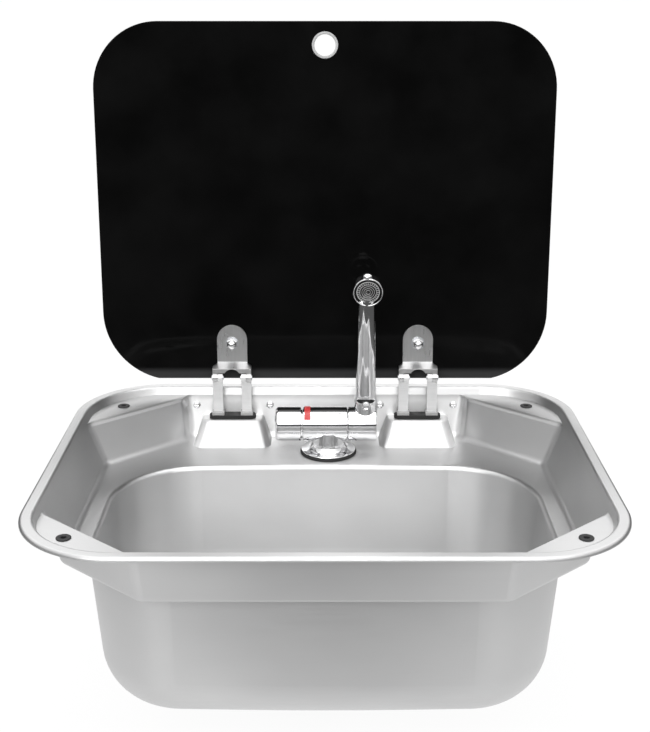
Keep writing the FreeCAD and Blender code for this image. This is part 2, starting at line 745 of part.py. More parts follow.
def hinge_pins():
    """Headed pins, one in each pair of knuckles; the outer end is the head."""
    solids = []
    outer = LEG_INNER + LEG_WIDTH
    for side_sign in (-1, 1):
        x0 = side_sign * (LEG_INNER - 1.0)
        axis = X_AXIS * side_sign
        pin = rod(PIN_R, vec(x0, PIVOT_Y, PIVOT_OPEN_Z), axis, LEG_WIDTH + 1.0)
        head_start = vec(side_sign * outer, PIVOT_Y, PIVOT_OPEN_Z)
        solids.append(pin.fuse(rod(PIN_HEAD_R, head_start, axis, PIN_HEAD)).removeSplitter())
    return Part.makeCompound(solids)


def leg_gap(grow, z0, z1):
    """Two openings that the legs slide through."""
    half = LEG_THICK / 2 + grow
    gaps = []
    for side_sign in (-1, 1):
        edges = (side_sign * (LEG_INNER - grow), side_sign * (LEG_INNER + LEG_WIDTH + grow))
        x0, x1 = sorted(edges)
        gaps.append(box(x0, x1, PIVOT_Y - half, PIVOT_Y + half, z0, z1))
    return gaps[0].fuse(gaps[1])


def guide_bushes():
    """Grey plastic guides that stand in the collar round each leg."""
    low = PAD_Z - SHEET - 2.0
    high = COLLAR_TOP + BUSH_HEIGHT
    solids = []
    for side_sign in (-1, 1):
        middle = side_sign * (LEG_INNER + LEG_WIDTH / 2)
        half = LEG_WIDTH / 2 + BUSH_WALL
        body = box(middle - half, middle + half, PIVOT_Y - BUSH_NECK, PIVOT_Y + BUSH_NECK,
                   low, COLLAR_TOP)
        head = box(middle - half, middle + half, PIVOT_Y - BUSH_HEAD, PIVOT_Y + BUSH_HEAD,
                   COLLAR_TOP, high)
        solid = body.fuse(head).removeSplitter()
        solids.append(solid.cut(leg_gap(LEG_FIT, low - 1, high + 1)))
    return solids


def slot_collar():
    """Black rubber collar that fills the boss's slot and carries the guides."""
    length = SLOT_LENGTH + 2 * COLLAR_MARGIN
    width = SLOT_WIDTH + 2 * COLLAR_MARGIN
    flange = slot(0, length, width, PIVOT_Y, PAD_Z, COLLAR_TOP)
    neck = slot(0, SLOT_LENGTH - COLLAR_FIT, SLOT_WIDTH - COLLAR_FIT, PIVOT_Y,
                PAD_Z - SHEET, PAD_Z)
    collar = flange.fuse(neck).removeSplitter()
    for guide in guide_bushes():
        extent = guide.BoundBox
        collar = collar.cut(box(extent.XMin, extent.XMax, PIVOT_Y - BUSH_NECK,
                                PIVOT_Y + BUSH_NECK, PAD_Z - 5, COLLAR_TOP + 1))
    return collar


def hinge_carrier():
    """Folded bracket behind the back wall; its floor guides the legs' lower ends."""
    half = WALL_SCREW_X + 7
    top = WALL_SCREW_Z + 8
    back = WALL_BACK + CARRIER
    plate_up = box(-half, half, WALL_BACK, back, CARRIER_FLOOR_Z, top)
    edge = LEG_INNER + LEG_WIDTH + CARRIER_MARGIN
    floor_top = CARRIER_FLOOR_Z + CARRIER
    floor = box(-edge, edge, PIVOT_Y - 9, back, CARRIER_FLOOR_Z, floor_top)
    gusset = [
        vec(0, back, floor_top),
        vec(0, PIVOT_Y - 5, floor_top),
        vec(0, WALL_BACK, floor_top + CARRIER_GUSSET),
        vec(0, back, floor_top + CARRIER_GUSSET),
    ]
    face = Part.Face(Part.makePolygon(gusset + gusset[:1]))
    carrier = plate_up.fuse(floor)
    for side_sign in (-1, 1):
        rib = face.extrude(vec(CARRIER, 0, 0))
        rib.translate(vec(side_sign * edge - (CARRIER if side_sign > 0 else 0), 0, 0))
        carrier = carrier.fuse(rib)
        foot = box(*sorted((side_sign * (edge + 0.01), side_sign * (half + 1))),
                   WALL_BACK - 1, back + 1, CARRIER_FLOOR_Z - 1, WALL_SCREW_Z - 9)
        carrier = carrier.cut(foot)
        start = vec(side_sign * WALL_SCREW_X, WALL_BACK - 1, WALL_SCREW_Z)
        carrier = carrier.cut(rod(SCREW_HOLE_R, start, Y_AXIS, CARRIER + 2))
    gap = leg_gap(LEG_FIT, CARRIER_FLOOR_Z - 1, CARRIER_FLOOR_Z + CARRIER + 1)
    return carrier.cut(gap).removeSplitter()


def driver_slot(front, half_x, half_z):
    return box(front.x - half_x, front.x + half_x, front.y - 1, front.y + DRIVER_DEPTH,
               front.z - half_z, front.z + half_z)


def wall_screws():
    """Pan-head screws through the back wall."""
    solids = []
    for x in (-WALL_SCREW_X, WALL_SCREW_X):
        front = vec(x, WALL_Y - SCREW_HEAD, WALL_SCREW_Z)
        pan = Part.makeSphere(SCREW_DOME_R, front + Y_AXIS * SCREW_DOME_R)
        head = pan.common(rod(SCREW_HEAD_R, front, Y_AXIS, SCREW_HEAD))
        cross = driver_slot(front, DRIVER_HALF, DRIVER_SLOT_HALF)
        upright = driver_slot(front, DRIVER_SLOT_HALF, DRIVER_HALF)
        shank = rod(SCREW_R, vec(x, WALL_Y, WALL_SCREW_Z), Y_AXIS, SCREW_LENGTH)
        solids.append(head.fuse(shank).cut(cross).cut(upright).removeSplitter())
    return Part.makeCompound(solids)


def wall_nuts():
    solids = []
    start_y = WALL_BACK + CARRIER
    for x in (-WALL_SCREW_X, WALL_SCREW_X):
        nut = six_sided(NUT_R, NUT)
        nut.rotate(vec(0, 0), X_AXIS, -90)
        nut.translate(vec(x, start_y, WALL_SCREW_Z))
        bore = rod(SCREW_R + THREAD_FIT, vec(x, start_y - 1, WALL_SCREW_Z), Y_AXIS, NUT + 2)
        solids.append(nut.cut(bore))
    return Part.makeCompound(solids)


# ------------------------------------------------------------------------- tap

def tap_gasket():
    """Black ring between the tap's foot and the shelf."""
    return tube(GASKET_R, TAP_HOLE_R, vec(TAP_BASE_X, TAP_Y, SHELF_Z), Z_AXIS, GASKET)


def across(radius, x0, x1):
    """A cylinder about the tap's own axis."""
    return rod(radius, vec(x0, TAP_Y, TAP_Z), X_AXIS, x1 - x0)


def softened(solid, radius, x):
    """Round the circular edge of a tap piece in the plane at x."""
    edges = [edge for edge in solid.Edges
             if abs(edge.BoundBox.XMin - x) < TOLERANCE and abs(edge.BoundBox.XMax - x) < TOLERANCE]
    return solid.makeFillet(radius, edges)


def tap_body():
    """Cross cylinder on a flared foot, with the shank that holds it to the shelf."""
    foot = SHELF_Z + GASKET
    barrel = across(TAP_R, TAP_BODY_LEFT, TAP_BODY_RIGHT)
    flare = [
        (0, foot),
        (FLANGE_R, foot),
        (FLANGE_R, foot + 1.6),
        (FLANGE_R - 3.0, foot + 2.8),
        (NECK_R + 3.2, foot + 5.6),
        (NECK_R + 1.0, foot + 8.4),
        (NECK_R, foot + 12.0),
        (NECK_R, TAP_Z - 6),
        (0, TAP_Z - 6),
    ]
    pillar = turned(flare, TAP_BASE_X, TAP_Y)
    shank_low = SHELF_UNDER - SHANK_LENGTH
    shank = rod(SHANK_R, vec(TAP_BASE_X, TAP_Y, shank_low), Z_AXIS, foot - shank_low)
    body = barrel.fuse(pillar).fuse(shank).removeSplitter()
    knob_bore = across(STEM_R + PIN_FIT, TAP_BODY_LEFT - 1, TAP_BODY_LEFT + STEM_LENGTH + 0.5)
    hub_bore = across(STEM_R + PIN_FIT, TAP_BODY_RIGHT - STEM_LENGTH - 0.5, TAP_BODY_RIGHT + 1)
    return body.cut(knob_bore).cut(hub_bore)


def index_mark():
    """Thin red index laid over the barrel's top and front beside the knob."""
    ring = across(TAP_R + MARK, MARK_LEFT, MARK_LEFT + MARK_WIDTH)
    ring = ring.cut(across(TAP_R, MARK_LEFT - 1, MARK_LEFT + MARK_WIDTH + 1))
    window = box(MARK_LEFT - 1, MARK_LEFT + MARK_WIDTH + 1, TAP_Y - TAP_R - 1,
                 TAP_Y + MARK_BACK, TAP_Z + MARK_LOW, TAP_Z + TAP_R + 1)
    return ring.common(window)


def tap_knob():
    right = TAP_BODY_LEFT - KNOB_GAP
    knob = softened(across(TAP_R, KNOB_LEFT, right), 2.2, KNOB_LEFT)
    stem = across(STEM_R, right, TAP_BODY_LEFT + STEM_LENGTH)
    collar = across(TAP_R - 2.5, right, TAP_BODY_LEFT - 0.3)
    return knob.fuse(collar).fuse(stem).removeSplitter()


def spout_hub():
    left = TAP_BODY_RIGHT + HUB_GAP
    hub = softened(across(TAP_R, left, HUB_RIGHT), 1.0, HUB_RIGHT)
    stem = across(STEM_R, TAP_BODY_RIGHT - STEM_LENGTH, left)
    hub = hub.fuse(stem)
    start = vec(SPOUT_X, TAP_Y, TAP_Z + SOCKET_FLOOR)
    socket = rod(SPOUT_FOOT_R - SOCKET_STEP, start, Z_AXIS, TAP_R)
    return hub.cut(socket).removeSplitter()


def spout_tube():
    """Tapered pipe that stands up from the hub."""
    low = SOCKET_FLOOR
    profile = [
        (0, low),
        (SPOUT_FOOT_R, low),
        (SPOUT_FOOT_R, TAP_R),
        (SPOUT_FOOT_R - 0.2, TAP_R + 12),
        (SPOUT_FOOT_R - 1.7, TAP_R + 26),
        (SPOUT_TOP_R + 0.4, HEAD_HEIGHT - 40),
        (SPOUT_TOP_R, HEAD_HEIGHT - 14),
        (SPOUT_TOP_R - 0.6, HEAD_HEIGHT + 5),
        (SPOUT_TOP_R - 3.4, HEAD_HEIGHT + PIPE_TOP),
        (0, HEAD_HEIGHT + PIPE_TOP),
    ]
    pipe = turned(profile, SPOUT_X, TAP_Y)
    pipe.translate(vec(0, 0, TAP_Z))
    pipe = pipe.cut(spout_hub()).cut(spout_head_space())
    return largest(pipe)


def head_frame(shape):
    """Move a piece drawn along -Y at the origin to the spout's tilted head."""
    shape.rotate(vec(0, 0), X_AXIS, HEAD_TILT)
    shape.translate(vec(SPOUT_X + 1.0, TAP_Y, TAP_Z + HEAD_HEIGHT))
    return shape


def head_blank():
    return rod(HEAD_R, vec(0, HEAD_BACK, 0), Y_AXIS * -1, HEAD_DEPTH)


def spout_head_space():
    return head_frame(head_blank())


def spout_head():
    """Round outlet housing, open towards the front for the aerator."""
    head = head_blank()
    front = HEAD_BACK - HEAD_DEPTH
    rims = [edge for edge in head.Edges if edge.Length > HEAD_R and
            edge.BoundBox.YMax - edge.BoundBox.YMin < TOLERANCE]
    head = head.makeFillet(1.2, rims)
    recess = rod(AERATOR_R, vec(0, front - 1, 0), Y_AXIS, AERATOR_DEPTH + 1)
    return head_frame(head.cut(recess))


def aerator():
    """Outlet insert: a disc with ring grooves round a middle hole."""
    back = HEAD_BACK - HEAD_DEPTH + AERATOR_DEPTH
    front = back - AERATOR_DEPTH + AERATOR_SET_BACK
    insert = rod(AERATOR_R, vec(0, back, 0), Y_AXIS * -1, back - front)
    insert = insert.cut(rod(AERATOR_GROOVE, vec(0, front - 1, 0), Y_AXIS, 2 * AERATOR_DEPTH))
    for i in range(AERATOR_RINGS):
        inner = AERATOR_GROOVE * (2 * i + 2)
        ring = tube(inner + AERATOR_GROOVE, inner, vec(0, front - 1, 0), Y_AXIS,
                    AERATOR_GROOVE_DEPTH + 1)
        insert = insert.cut(ring)
    return head_frame(insert)


def spout_end_cap():
    """Small rounded knob that closes the pipe above the outlet housing."""
    low = HEAD_HEIGHT + PIPE_TOP
    cap = rod(END_CAP_R, vec(SPOUT_X, TAP_Y + END_CAP_BACK, TAP_Z + low), Z_AXIS, END_CAP)
    top = level_edges(cap, TAP_Z + low + END_CAP, everywhere)
    return cap.makeFillet(2.4, top).cut(spout_head_space())


def grub_cap():
    """Small round cover over the screw that clamps the pipe in its hub."""
    z = TAP_Z + GRUB_HEIGHT
    front = TAP_Y - SPOUT_FOOT_R - GRUB_STAND
    cap = rod(GRUB_R, vec(SPOUT_X, front, z), Y_AXIS, SPOUT_FOOT_R)
    rims = [edge for edge in cap.Edges if abs(edge.BoundBox.YMax - front) < TOLERANCE]
    cap = cap.makeFillet(0.8, rims)
    pipe = rod(SPOUT_FOOT_R + THREAD_FIT, vec(SPOUT_X, TAP_Y, TAP_Z), Z_AXIS, HEAD_HEIGHT)
    return largest(cap.cut(pipe))


def shelf_washer():
    start = vec(TAP_BASE_X, TAP_Y, SHELF_UNDER - SHELF_WASHER)
    return tube(SHELF_WASHER_R, SHANK_R + 0.4, start, Z_AXIS, SHELF_WASHER)


def shank_nut():
    """Ring nut with four wings below the shelf."""
    top = SHELF_UNDER - SHELF_WASHER
    centre = vec(TAP_BASE_X, TAP_Y, top - SHANK_NUT)
    nut = rod(SHANK_NUT_R, centre, Z_AXIS, SHANK_NUT)
    for i in range(4):
        wing = box(SHANK_R, WING_REACH, -WING_HALF, WING_HALF, 0, SHANK_NUT)
        wing.rotate(vec(0, 0), Z_AXIS, 45 + 90 * i)
        wing.translate(centre)
        nut = nut.fuse(wing)
    bore = rod(SHANK_R + THREAD_FIT, centre - Z_AXIS, Z_AXIS, SHANK_NUT + 2)
    return nut.cut(bore).removeSplitter()


def inlet(side_sign):
    """Plain water inlet tail under the tap."""
    low = SHELF_UNDER - SHANK_LENGTH
    x = TAP_BASE_X + side_sign * INLET_SPACING / 2
    tail = rod(INLET_R, vec(x, TAP_Y, low - INLET_LENGTH), Z_AXIS, INLET_LENGTH)
    bead = rod(INLET_R + 1.2, vec(x, TAP_Y, low - 6), Z_AXIS, 6)
    bore = rod(INLET_R - 1.2, vec(x, TAP_Y, low - INLET_LENGTH - 1), Z_AXIS, INLET_LENGTH)
    return tail.fuse(bead).cut(bore).removeSplitter()


# ----------------------------------------------------------------------- waste

def waste_strainer():
    """Pressed strainer cup whose flange lies on the bowl's floor."""
    z = FLOOR_Z
    sheet = STRAINER_SHEET
    profile = [
        (CUP_R - sheet, z + sheet - 1.5),
        (CUP_R + 1.5, z + sheet),
        (STRAINER_FLANGE_R, z + 0.4),
        (STRAINER_FLANGE_R, z),
        (CUP_R, z),
        (CUP_R, z - CUP_DEPTH),
        (0, z - CUP_DEPTH),
        (0, z - CUP_DEPTH + sheet),
        (CUP_R - sheet, z - CUP_DEPTH + sheet),
    ]
    cup = turned(profile, 0, WASTE_Y)
    bottom = z - CUP_DEPTH - 1
    holes = [rod(WASTE_SCREW_R + 0.2, vec(0, WASTE_Y, bottom), Z_AXIS, sheet + 2)]
    for ring_radius, count in ((8.5, 6), (14.5, 10)):
        for i in range(count):
            angle = 2 * math.pi * i / count
            x = ring_radius * math.cos(angle)
            y = WASTE_Y + ring_radius * math.sin(angle)
            holes.append(rod(STRAINER_HOLE_R, vec(x, y, bottom), Z_AXIS, sheet + 2))
    return cup.cut(Part.makeCompound(holes))


def waste_seal():
    start = vec(0, WASTE_Y, FLOOR_UNDER - WASTE_SEAL)
    return tube(WASTE_R - 1, WASTE_HOLE_R + 1, start, Z_AXIS, WASTE_SEAL)


def waste_body():
    """Moulded funnel with a straight tail, clamped below the floor by the strainer's screw."""
    top = FLOOR_UNDER - WASTE_SEAL
    low = top - WASTE_FUNNEL
    profile = [
        (CUP_R + 1.6, top),
        (WASTE_R, top),
        (WASTE_R, top - 4),
        (27.0, top - 5),
        (25.5, top - 14),
        (TAIL_R + 1.5, low),
        (TAIL_R, low - 1),
        (TAIL_R, low - TAIL_LENGTH),
        (TAIL_BORE_R, low - TAIL_LENGTH),
        (TAIL_BORE_R, low),
        (22.0, top - 14),
    ]
    funnel = turned(profile, 0, WASTE_Y)
    bar_top = FLOOR_Z - CUP_DEPTH - 0.2
    bar = box(-23.5, 23.5, WASTE_Y - BAR_HALF, WASTE_Y + BAR_HALF, bar_top - 8, bar_top)
    boss = rod(4.5, vec(0, WASTE_Y, bar_top - 8), Z_AXIS, 8)
    bore = rod(WASTE_SCREW_R, vec(0, WASTE_Y, bar_top - 7), Z_AXIS, 8)
    return funnel.fuse(bar).fuse(boss).cut(bore).removeSplitter()


def waste_screw():
    """Screw that draws the strainer and the funnel together through the floor."""
    z = FLOOR_Z - CUP_DEPTH + STRAINER_SHEET
    head = turned([
        (0, z),
        (WASTE_HEAD_R, z),
        (WASTE_HEAD_R, z + WASTE_HEAD / 2),
        (WASTE_HEAD_R - 1, z + WASTE_HEAD),
        (0, z + WASTE_HEAD),
    ], 0, WASTE_Y)
    shank = rod(WASTE_SCREW_R - THREAD_FIT, vec(0, WASTE_Y, z - 6), Z_AXIS, 6)
    driver = box(-DRIVER_HALF, DRIVER_HALF, WASTE_Y - DRIVER_SLOT_HALF,
                 WASTE_Y + DRIVER_SLOT_HALF, z + WASTE_HEAD / 2, z + WASTE_HEAD + 1)
    return head.fuse(shank).cut(driver).removeSplitter()


def placed(shape, side_sign):
    """A hinge piece drawn about x = 0, moved out to one side of the sink."""
    piece = shape if side_sign > 0 else mirrored(shape)
    piece = piece.copy()
    piece.translate(vec(side_sign * HINGE_X, 0))
    return piece


def main():
    os.makedirs("parts", exist_ok=True)
    save("sink_bowl", sink_shell())
    save("rim_seal", rim_seal())
    save("ledge_buffers", ledge_buffers())
    save("lid_glass", opened(lid_glass()))
    save("finger_grommet", opened(finger_grommet()))
    sides = (("left", -1), ("right", 1))
    for side, side_sign in sides:
        save("lid_bracket_" + side, opened(placed(lid_bracket(), side_sign)))
        save("bracket_pad_" + side, opened(placed(bracket_pad(), side_sign)))
        save("hinge_legs_" + side, placed(hinge_legs(), side_sign))
        save("hinge_pins_" + side, placed(hinge_pins(), side_sign))
        save("guide_bushes_" + side, placed(Part.makeCompound(guide_bushes()), side_sign))
        save("slot_collar_" + side, placed(slot_collar(), side_sign))
        save("hinge_carrier_" + side, placed(hinge_carrier(), side_sign))
        save("carrier_screws_" + side, placed(wall_screws(), side_sign))
        save("carrier_nuts_" + side, placed(wall_nuts(), side_sign))
    for name, make in (("lid_bolts", lid_bolt), ("lid_washers", lid_washer),
                       ("lid_cap_nuts", cap_nut)):
        pair = [opened(placed(make(), side_sign)) for side, side_sign in sides]
        save(name, Part.makeCompound(pair))
    save("tap_gasket", tap_gasket())
    save("tap_body", tap_body())
    save("tap_index_mark", index_mark())
    save("tap_knob", tap_knob())
    save("spout_hub", spout_hub())
    save("spout_tube", spout_tube())
    save("spout_head", spout_head())
    save("aerator", aerator())
    save("spout_end_cap", spout_end_cap())
    save("spout_grub_cap", grub_cap())
    save("tap_shelf_washer", shelf_washer())
    save("tap_shank_nut", shank_nut())
    save("inlet_cold", inlet(1))
    save("inlet_hot", inlet(-1))
    save("waste_strainer", waste_strainer())
    save("waste_seal", waste_seal())
    save("waste_body", waste_body())
    save("waste_screw", waste_screw())


main()
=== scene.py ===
import json
import math

import bpy
from mathutils import Matrix, Vector


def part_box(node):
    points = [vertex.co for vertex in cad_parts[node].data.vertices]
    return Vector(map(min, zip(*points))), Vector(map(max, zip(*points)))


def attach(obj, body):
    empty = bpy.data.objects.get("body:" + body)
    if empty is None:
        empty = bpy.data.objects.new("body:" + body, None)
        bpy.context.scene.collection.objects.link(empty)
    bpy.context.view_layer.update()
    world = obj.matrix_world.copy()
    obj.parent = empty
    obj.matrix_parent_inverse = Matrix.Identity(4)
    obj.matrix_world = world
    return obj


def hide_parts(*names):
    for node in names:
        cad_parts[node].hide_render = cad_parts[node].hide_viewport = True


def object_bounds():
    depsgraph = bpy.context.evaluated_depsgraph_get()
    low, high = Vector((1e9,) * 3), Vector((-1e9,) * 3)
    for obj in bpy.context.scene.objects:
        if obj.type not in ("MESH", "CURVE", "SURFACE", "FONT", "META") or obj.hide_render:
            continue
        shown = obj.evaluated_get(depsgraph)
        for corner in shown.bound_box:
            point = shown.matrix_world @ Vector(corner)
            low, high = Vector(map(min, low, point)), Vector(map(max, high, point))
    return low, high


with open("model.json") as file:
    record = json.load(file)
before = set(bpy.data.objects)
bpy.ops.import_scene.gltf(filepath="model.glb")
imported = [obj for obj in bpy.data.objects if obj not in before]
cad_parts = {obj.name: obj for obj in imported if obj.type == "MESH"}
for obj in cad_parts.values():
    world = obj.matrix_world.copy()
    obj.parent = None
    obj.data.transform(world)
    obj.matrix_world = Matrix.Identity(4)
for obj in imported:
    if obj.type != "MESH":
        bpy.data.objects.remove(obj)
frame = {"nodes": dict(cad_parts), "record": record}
cad_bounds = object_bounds()
NODES = frame["nodes"]

X_AXIS = Vector((1, 0, 0))
Y_AXIS = Vector((0, 1, 0))
Z_AXIS = Vector((0, 0, 1))
MM = 0.001                       # profiles are in millimetres, the scene in metres
ROUND = 96                       # sides of a turned piece
SMALL_ROUND = 64                 # sides of a small turned piece
DOME_ROUND = 48                  # sides of a nut's dome
HEXAGON = 6
WELD = 0.002 * MM                # points nearer than this become one
SMOOTH_ANGLE = math.radians(32)  # sharper edges than this stay sharp in the shading
EDGE_SEGMENTS = 2                # steps in a rounded edge
EDGE_ANGLE = math.radians(40)    # edges sharper than this are rounded on a CAD shape
FLAT_ANGLE = math.radians(0.4)   # faces nearer to one plane than this become one
FACE_WEIGHT = 100                # large faces decide the shading at rounded edges
PATTERN_SPAN = (0.3, 0.7)        # where most of a noise lies
RELIEF_HEIGHT = 0.1 * MM
QUARTER_TURN = 0.25              # turns the spread of a mirrored light across the brush lines

# ---- camera, from the photograph's viewpoint ----
CAMERA_PLACE = (0.0, -1.0085, 0.426)
CAMERA_PITCH = math.radians(18.45)
PHOTO_HEIGHT = 732.0             # pixels
FOCAL_PIXELS = 1195.0
SENSOR = 36.0

# ---- sky: (height of a direction, level) where 1 is white ----
FRONT_SKY = ((0.0, 0.05), (0.2, 0.06), (0.3, 1.8), (0.6, 1.6), (1.0, 1.4))
BACK_SKY = ((0.0, 0.15), (0.28, 0.2), (0.4, 1.5), (0.5, 2.1), (1.0, 1.4))
FRONT_TO_BACK = (-0.15, 0.25)    # depth of a direction where one sky gives way to the other
SIDE_TURN = (0.3, 0.9)           # how far aside a direction starts and ends to dim
SIDE_LEVEL = 0.5

# ---- floor, and how metal mirrors it ----
FLOOR_SIZE = 80
FLOOR_DROP = 0.5 * MM            # below the part's lowest point
FLOOR_GLOW = 0.93                # share of plain white that the camera sees
NEAR_LEVEL = 1.0
FAR_LEVEL = 0.1
NEAR_TO_FAR = (0.5, 1.2)         # metres from the middle
DARK_REFLECTION_PLACE = (0.0, -0.5)        # painted dark reflection: a dark patch in front of the sink that only reflections show
DARK_REFLECTION_REACH = (0.03, 0.34)       # metres from the patch's middle
DARK_REFLECTION_LEVEL = 0.0

SOFTBOXES = (                    # name, place, width, height, watts
    ("softbox_front", (-0.6, -2.2, 1.3), 2.2, 1.2, 22),
    ("softbox_top", (0.2, 0.1, 2.4), 2.4, 1.6, 18),
)

# ---- the tap's own axis and its parts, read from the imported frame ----
KNOB_LOW, KNOB_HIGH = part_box("tap_knob")
TAP_BASE_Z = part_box("tap_body")[0].z
HUB_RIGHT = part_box("spout_hub")[1].x
PIPE_LOW, PIPE_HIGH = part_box("spout_tube")
GASKET_LOW, GASKET_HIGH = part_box("tap_gasket")
KNOB_LEFT = KNOB_LOW.x
TAP_R = (KNOB_HIGH.z - KNOB_LOW.z) / 2 / MM
TAP_AXIS_Y = (KNOB_LOW.y + KNOB_HIGH.y) / 2
TAP_AXIS_Z = (KNOB_LOW.z + KNOB_HIGH.z) / 2
PIPE_X = (PIPE_LOW.x + PIPE_HIGH.x) / 2
FOOT_X = (GASKET_LOW.x + GASKET_HIGH.x) / 2
SHELF_Z = GASKET_LOW.z
FOOT_Z = GASKET_HIGH.z
FOOT_REACH = (TAP_AXIS_Z - FOOT_Z) / MM - 6     # ends inside the barrel
SHANK_REACH = (FOOT_Z - TAP_BASE_Z) / MM
BARREL_LEFT = -22.9 * MM
BARREL_RIGHT = 23.0 * MM
BARREL_END = ((0, 1.5), (0.2, 0.7), (0.7, 0.15), (1.3, 0))  # from the end, below TAP_R
KNOB_GAP = 1.5
HUB_GAP = 0.5
HEAD_PLACE = Vector((PIPE_X, TAP_AXIS_Y, TAP_AXIS_Z)) + Vector((1.0, 0, 144.8)) * MM
HEAD_TILT = math.radians(12)
HEAD_AXIS = Vector((0, -math.cos(HEAD_TILT), -math.sin(HEAD_TILT)))
STUD_OFFSET = Vector((-0.7, -9.6, 11.0)) * MM
SPOKES = 28
SPOKE_LOW = Vector((-0.28, -10.9, 8.0)) * MM
SPOKE_HIGH = Vector((0.28, -9.6, 10.9)) * MM
SPOKE_ROUNDING = 0.12 * MM
RIDGE_HIGHLIGHT_START = 10.1 * MM          # depth in the outlet where the painted highlight on the ridges starts
RIDGE_HIGHLIGHT_END = 10.7 * MM
END_CAP_HEIGHT = 9 * MM
COVER_DEPTH = 3.4 * MM

# ---- the lid, the ledges and the wall behind the tap ----
LID_LEAN = math.radians(4.5)
LID_FACE = Vector((0, -math.cos(LID_LEAN), math.sin(LID_LEAN)))
WASHER_R = 7.0
NUT_SEAT = 0.4 * MM              # above the washers' middle
GLASS_REFLECTION_HEIGHTS = (18 * MM, 26 * MM)  # heights where the painted grey reflection along the hinged edge gives way to black
PLUG_R = 6.2
BAY_WALL_Y = 186.0 * MM
BAY_HIGHLIGHT_DEPTHS = (BAY_WALL_Y - 5 * MM, BAY_WALL_Y - 1 * MM)  # depths where the painted highlight starts
BAY_HIGHLIGHT_HEIGHTS = (-12 * MM, -4 * MM)    # heights where the painted highlight ends
PLATE_ROUNDING = 0.35 * MM
BUSH_ROUNDING = 0.4 * MM
COLLAR_ROUNDING = 0.6 * MM


# ---------------------------------------------------------------- materials

def grey(level):
    return (level, level, level)


def feed(tree, value, socket):
    """Give a socket a number, a colour or another node's output."""
    if isinstance(value, (int, float)):
        socket.default_value = value
    elif isinstance(value, tuple):
        socket.default_value = (*value, 1)
    else:
        tree.links.new(value, socket)


def math_node(tree, operation, first, second):
    """An arithmetic node; each input is a number or another node's output."""
    node = tree.nodes.new("ShaderNodeMath")
    node.operation = operation
    for socket, value in zip(node.inputs, (first, second)):
        feed(tree, value, socket)
    return node.outputs["Value"]


def fade(tree, value, span, first, last):
    """A smooth change from one level to another as a value crosses a span."""
    node = tree.nodes.new("ShaderNodeMapRange")
    node.interpolation_type = "SMOOTHSTEP"
    node.inputs["From Min"].default_value = span[0]
    node.inputs["From Max"].default_value = span[1]
    node.inputs["To Min"].default_value = first
    node.inputs["To Max"].default_value = last
    tree.links.new(value, node.inputs["Value"])
    return node.outputs["Result"]


def blend(tree, factor, first, second):
    """Mix two colours; each is a colour or another node's output."""
    node = tree.nodes.new("ShaderNodeMix")
    node.data_type = "RGBA"
    tree.links.new(factor, node.inputs["Factor"])
    feed(tree, first, node.inputs["A"])
    feed(tree, second, node.inputs["B"])
    return node.outputs["Result"]


def own_place(tree):
    """The piece's own coordinates, which stay with it as it moves."""
    return tree.nodes.new("ShaderNodeTexCoord").outputs["Object"]


def own_parts(tree):
    """The X, Y and Z of the piece's own coordinates."""
    node = tree.nodes.new("ShaderNodeSeparateXYZ")
    tree.links.new(own_place(tree), node.inputs["Vector"])
    return node.outputs


def new_material(name, colour, metallic, roughness, specular=None):
    material = bpy.data.materials.new(name)
    material.use_nodes = True
    shader = material.node_tree.nodes["Principled BSDF"]
    shader.inputs["Base Color"].default_value = (*colour, 1)
    shader.inputs["Metallic"].default_value = metallic
    shader.inputs["Roughness"].default_value = roughness
    if specular is not None:
        shader.inputs["Specular IOR Level"].default_value = specular
    return material, shader


def grain(tree, scale, detail):
    """Noise on the piece's own coordinates; the scale is one for all axes or one for each."""
    mapping = tree.nodes.new("ShaderNodeMapping")
    mapping.inputs["Scale"].default_value = scale if isinstance(scale, tuple) else grey(scale)
    noise = tree.nodes.new("ShaderNodeTexNoise")
    noise.inputs["Scale"].default_value = 1.0
    noise.inputs["Detail"].default_value = detail
    tree.links.new(own_place(tree), mapping.inputs["Vector"])
    tree.links.new(mapping.outputs["Vector"], noise.inputs["Vector"])
    return noise.outputs["Fac"]


def flakes(tree, size):
    """Crystal-like cells, as on zinc plating."""
    cells = tree.nodes.new("ShaderNodeTexVoronoi")
    cells.inputs["Scale"].default_value = 1 / size
    tree.links.new(own_place(tree), cells.inputs["Vector"])
    return cells.outputs["Distance"]


def spread(tree, pattern, low, high):
    """Map a pattern's middle part, where most of it lies, on to a range of values."""
    node = tree.nodes.new("ShaderNodeMapRange")
    node.inputs["From Min"].default_value = PATTERN_SPAN[0]
    node.inputs["From Max"].default_value = PATTERN_SPAN[1]
    node.inputs["To Min"].default_value = low
    node.inputs["To Max"].default_value = high
    tree.links.new(pattern, node.inputs["Value"])
    return node.outputs["Result"]


def tint(tree, pattern, dark, light):
    """Blend two colours by a pattern."""
    return blend(tree, spread(tree, pattern, 0, 1), dark, light)


def relief(tree, shader, pattern, strength):
    """A very low relief in the surface."""
    node = tree.nodes.new("ShaderNodeBump")
    node.inputs["Strength"].default_value = strength
    node.inputs["Distance"].default_value = RELIEF_HEIGHT
    tree.links.new(pattern, node.inputs["Height"])
    tree.links.new(node.outputs["Normal"], shader.inputs["Normal"])


def patterned(name, colour, metallic, roughness, cloud, tones, rough, specular=None,
              bump=None):
    """A material whose tone and roughness follow one noise.

    cloud is that noise's scale and detail, tones are two colours and rough two
    roughnesses. bump is a relief's scale, detail and strength.
    """
    material, shader = new_material(name, colour, metallic, roughness, specular)
    tree = material.node_tree
    pattern = grain(tree, *cloud)
    feed(tree, tint(tree, pattern, *tones), shader.inputs["Base Color"])
    feed(tree, spread(tree, pattern, *rough), shader.inputs["Roughness"])
    if bump:
        scale, detail, strength = bump
        relief(tree, shader, grain(tree, scale, detail), strength)
    return material


